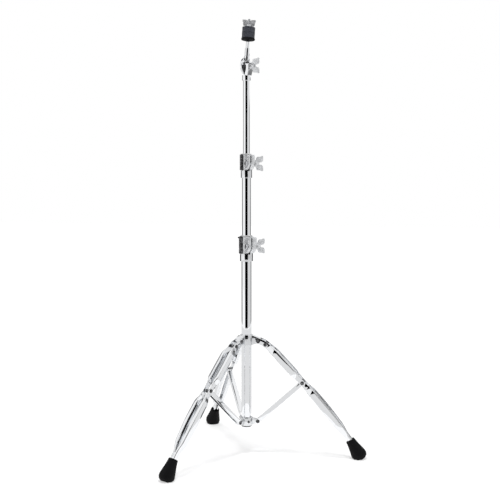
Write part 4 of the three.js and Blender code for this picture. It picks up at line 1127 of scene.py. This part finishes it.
class STAND_OT_stage(bpy.types.Operator):
    """Makes the floor, the lights, the cards that the chrome mirrors, and the camera"""

    bl_idname = "stand.stage"
    bl_label = "Stage"

    def execute(self, context):
        scene, levels = context.scene, values_of("stand_stage")
        azimuth = math.radians(levels.camera_azimuth)
        towards = np.array([math.sin(azimuth), -math.cos(azimuth)])
        right = np.array([math.cos(azimuth), math.sin(azimuth)])
        self.floor(values_of("stand_legs").floor_height * MM)
        self.world(levels)
        for name, turn_from_camera, *card in CARDS:
            self.card(name, levels.camera_azimuth - 90 + turn_from_camera, *card)
        for disc in DISCS:
            self.disc(*disc)
        lamp = bpy.data.lights.new("soft_lamp", "AREA")
        lamp.shape, lamp.size, lamp.size_y, lamp.energy = "RECTANGLE", LAMP_SIZE, LAMP_SIZE, levels.lamp_power
        soft = placed("soft_lamp", lamp)
        soft.location = (*(towards * LAMP_PLACE[0] + right * LAMP_PLACE[1]), LAMP_PLACE[2])
        x, y, z = np.array([0.0, 0.0, LAMP_AIM]) - np.array(soft.location)
        soft.rotation_euler = (math.atan2(math.hypot(x, y), -z), 0, math.atan2(y, x) - math.pi / 2)
        soft.visible_glossy = False
        camera = placed("camera", bpy.data.cameras.new("camera"))
        camera.data.lens, camera.data.sensor_width = levels.lens, 36.0
        place = (towards * levels.camera_distance + right * levels.camera_offset) * MM
        camera.location = (*place, levels.camera_height * MM)
        camera.rotation_euler = (math.radians(90 - levels.camera_pitch), 0, azimuth)
        scene.camera = camera
        scene.view_settings.view_transform = "Standard"
        return {"FINISHED"}

    @staticmethod
    def stage_piece(name, points, faces, material):
        """A sheet of the stage."""
        mesh = bpy.data.meshes.new(name)
        mesh.from_pydata(points, [], faces)
        mesh.materials.append(material)
        piece = placed(name, mesh)
        return piece

    def floor(self, height):
        """Pale floor that keeps the stand's shadow, and looks whiter to the camera and to mirrors further off."""
        f = Finish("pale_floor")
        matt = f.add("ShaderNodeBsdfDiffuse", inputs={"Color": FLOOR_COLOUR})
        glow = f.add("ShaderNodeEmission", inputs={"Strength": FLOOR_GLOW})
        distance = f.add("ShaderNodeVectorMath", {"operation": "LENGTH"}, {0: f.place}, output="Value")
        share = (GLOW_SHARES[0] + GLOW_SHARES[1] * f.spots(distance, *GLOW_SPAN)) * f.seen()
        corners = [(x * FLOOR_HALF, y * FLOOR_HALF, height) for x, y in ((-1, -1), (1, -1), (1, 1), (-1, 1))]
        material = f.close(f.add("ShaderNodeMixShader", inputs={0: share, 1: matt, 2: glow}))
        self.stage_piece("floor", corners, [(0, 1, 2, 3)], material)

    def world(self, levels):
        """White to the camera and to mirrors, and the room's level to everything else."""
        world = bpy.data.worlds.new("studio")
        world.use_nodes = True
        w = Nodes(world.node_tree)
        plain, seen = (
            w.add("ShaderNodeBackground", inputs={"Color": (1, 1, 1, 1), "Strength": level})
            for level in (levels.room_light, 1.0)
        )
        mix = w.add("ShaderNodeMixShader", inputs={0: w.seen(), 1: plain, 2: seen})
        w.add("ShaderNodeOutputWorld", inputs={"Surface": mix})
        bpy.context.scene.world = world

    def mirrored(self, name, points, index, tone_of):
        """A sheet over rows of points that only mirror reflections see, in a tone or a pattern of tones."""
        quads = np.stack([index[:-1, :-1], index[:-1, 1:], index[1:, 1:], index[1:, :-1]], -1).reshape(-1, 4)
        f = Finish(name)
        material = f.close(f.add("ShaderNodeEmission", inputs={"Color": tone_of(f)}))
        piece = self.stage_piece(name, points.reshape(-1, 3), quads.tolist(), material)
        piece.visible_camera = piece.visible_diffuse = piece.visible_shadow = piece.visible_transmission = False

    def card(self, name, azimuth, top, half_angles, tones):
        """Upright arc round the column, from -half to half an angle that changes with height."""
        heights = np.linspace(CARD_FOOT, top, 9)
        half = np.interp(heights, heights[[0, -1]], half_angles)[:, None]
        t = np.radians(azimuth + half * np.linspace(-1, 1, 17))
        height = np.broadcast_to(heights[:, None], t.shape)
        points = np.stack([CARD_DISTANCE * np.cos(t), CARD_DISTANCE * np.sin(t), height], -1)

        def fade(f):
            return f.add("ShaderNodeMapRange", inputs={
                "Value": f.add("ShaderNodeSeparateXYZ", inputs={0: f.place}, output="Z"),
                "From Min": CARD_FADE[0], "From Max": CARD_FADE[1], "To Min": tones[0], "To Max": tones[1],
            })

        self.mirrored(name, points, np.arange(t.size).reshape(t.shape), fade)

    def disc(self, name, height, inner, outer, tone):
        """Level ring between two radii."""
        t = np.linspace(0, 2 * np.pi, 96, endpoint=False)
        radii = np.array([[inner], [outer]])
        points = np.stack([radii * np.cos(t), radii * np.sin(t), np.full((2, t.size), height)], -1)
        index = np.arange(2 * t.size).reshape(2, -1)
        self.mirrored(name, points, np.hstack([index, index[:, :1]]), lambda f: (tone, tone, tone, 1))


class STAND_PT_panel(bpy.types.Panel):
    """Lists the sizes of the stand and the makers of its pieces"""

    bl_label = "Straight cymbal stand"
    bl_idname = "STAND_PT_panel"
    bl_space_type = "VIEW_3D"
    bl_region_type = "UI"
    bl_category = "Stand"

    def draw(self, context):
        for name, _ in GROUPS:
            group = getattr(context.scene, name)
            for key in group.bl_rna.properties.keys():
                if key not in ("rna_type", "name"):
                    self.layout.prop(group, key)
        for operator in OPERATORS:
            self.layout.operator(operator.bl_idname)


GROUPS = (
    ("stand_column", ColumnSizes), ("stand_legs", LegSizes), ("stand_top", TopSizes),
    ("stand_finishes", Finishes), ("stand_stage", StageLevels),
)
OPERATORS = (
    STAND_OT_tubes, STAND_OT_clamps, STAND_OT_collars, STAND_OT_legs, STAND_OT_stays, STAND_OT_boots,
    STAND_OT_tilter, STAND_OT_rod, STAND_OT_felts, STAND_OT_stage,
)


def register():
    for name, group in GROUPS:
        bpy.utils.register_class(group)
        setattr(bpy.types.Scene, name, PointerProperty(type=group))
    for operator in OPERATORS:
        bpy.utils.register_class(operator)
    bpy.utils.register_class(STAND_PT_panel)


def unregister():
    bpy.utils.unregister_class(STAND_PT_panel)
    for operator in reversed(OPERATORS):
        bpy.utils.unregister_class(operator)
    for name, group in reversed(GROUPS):
        delattr(bpy.types.Scene, name)
        bpy.utils.unregister_class(group)


def main():
    register()
    for operator in OPERATORS:
        area, name = operator.bl_idname.split(".")
        getattr(getattr(bpy.ops, area), name)()


if __name__ == "__main__":
    main()
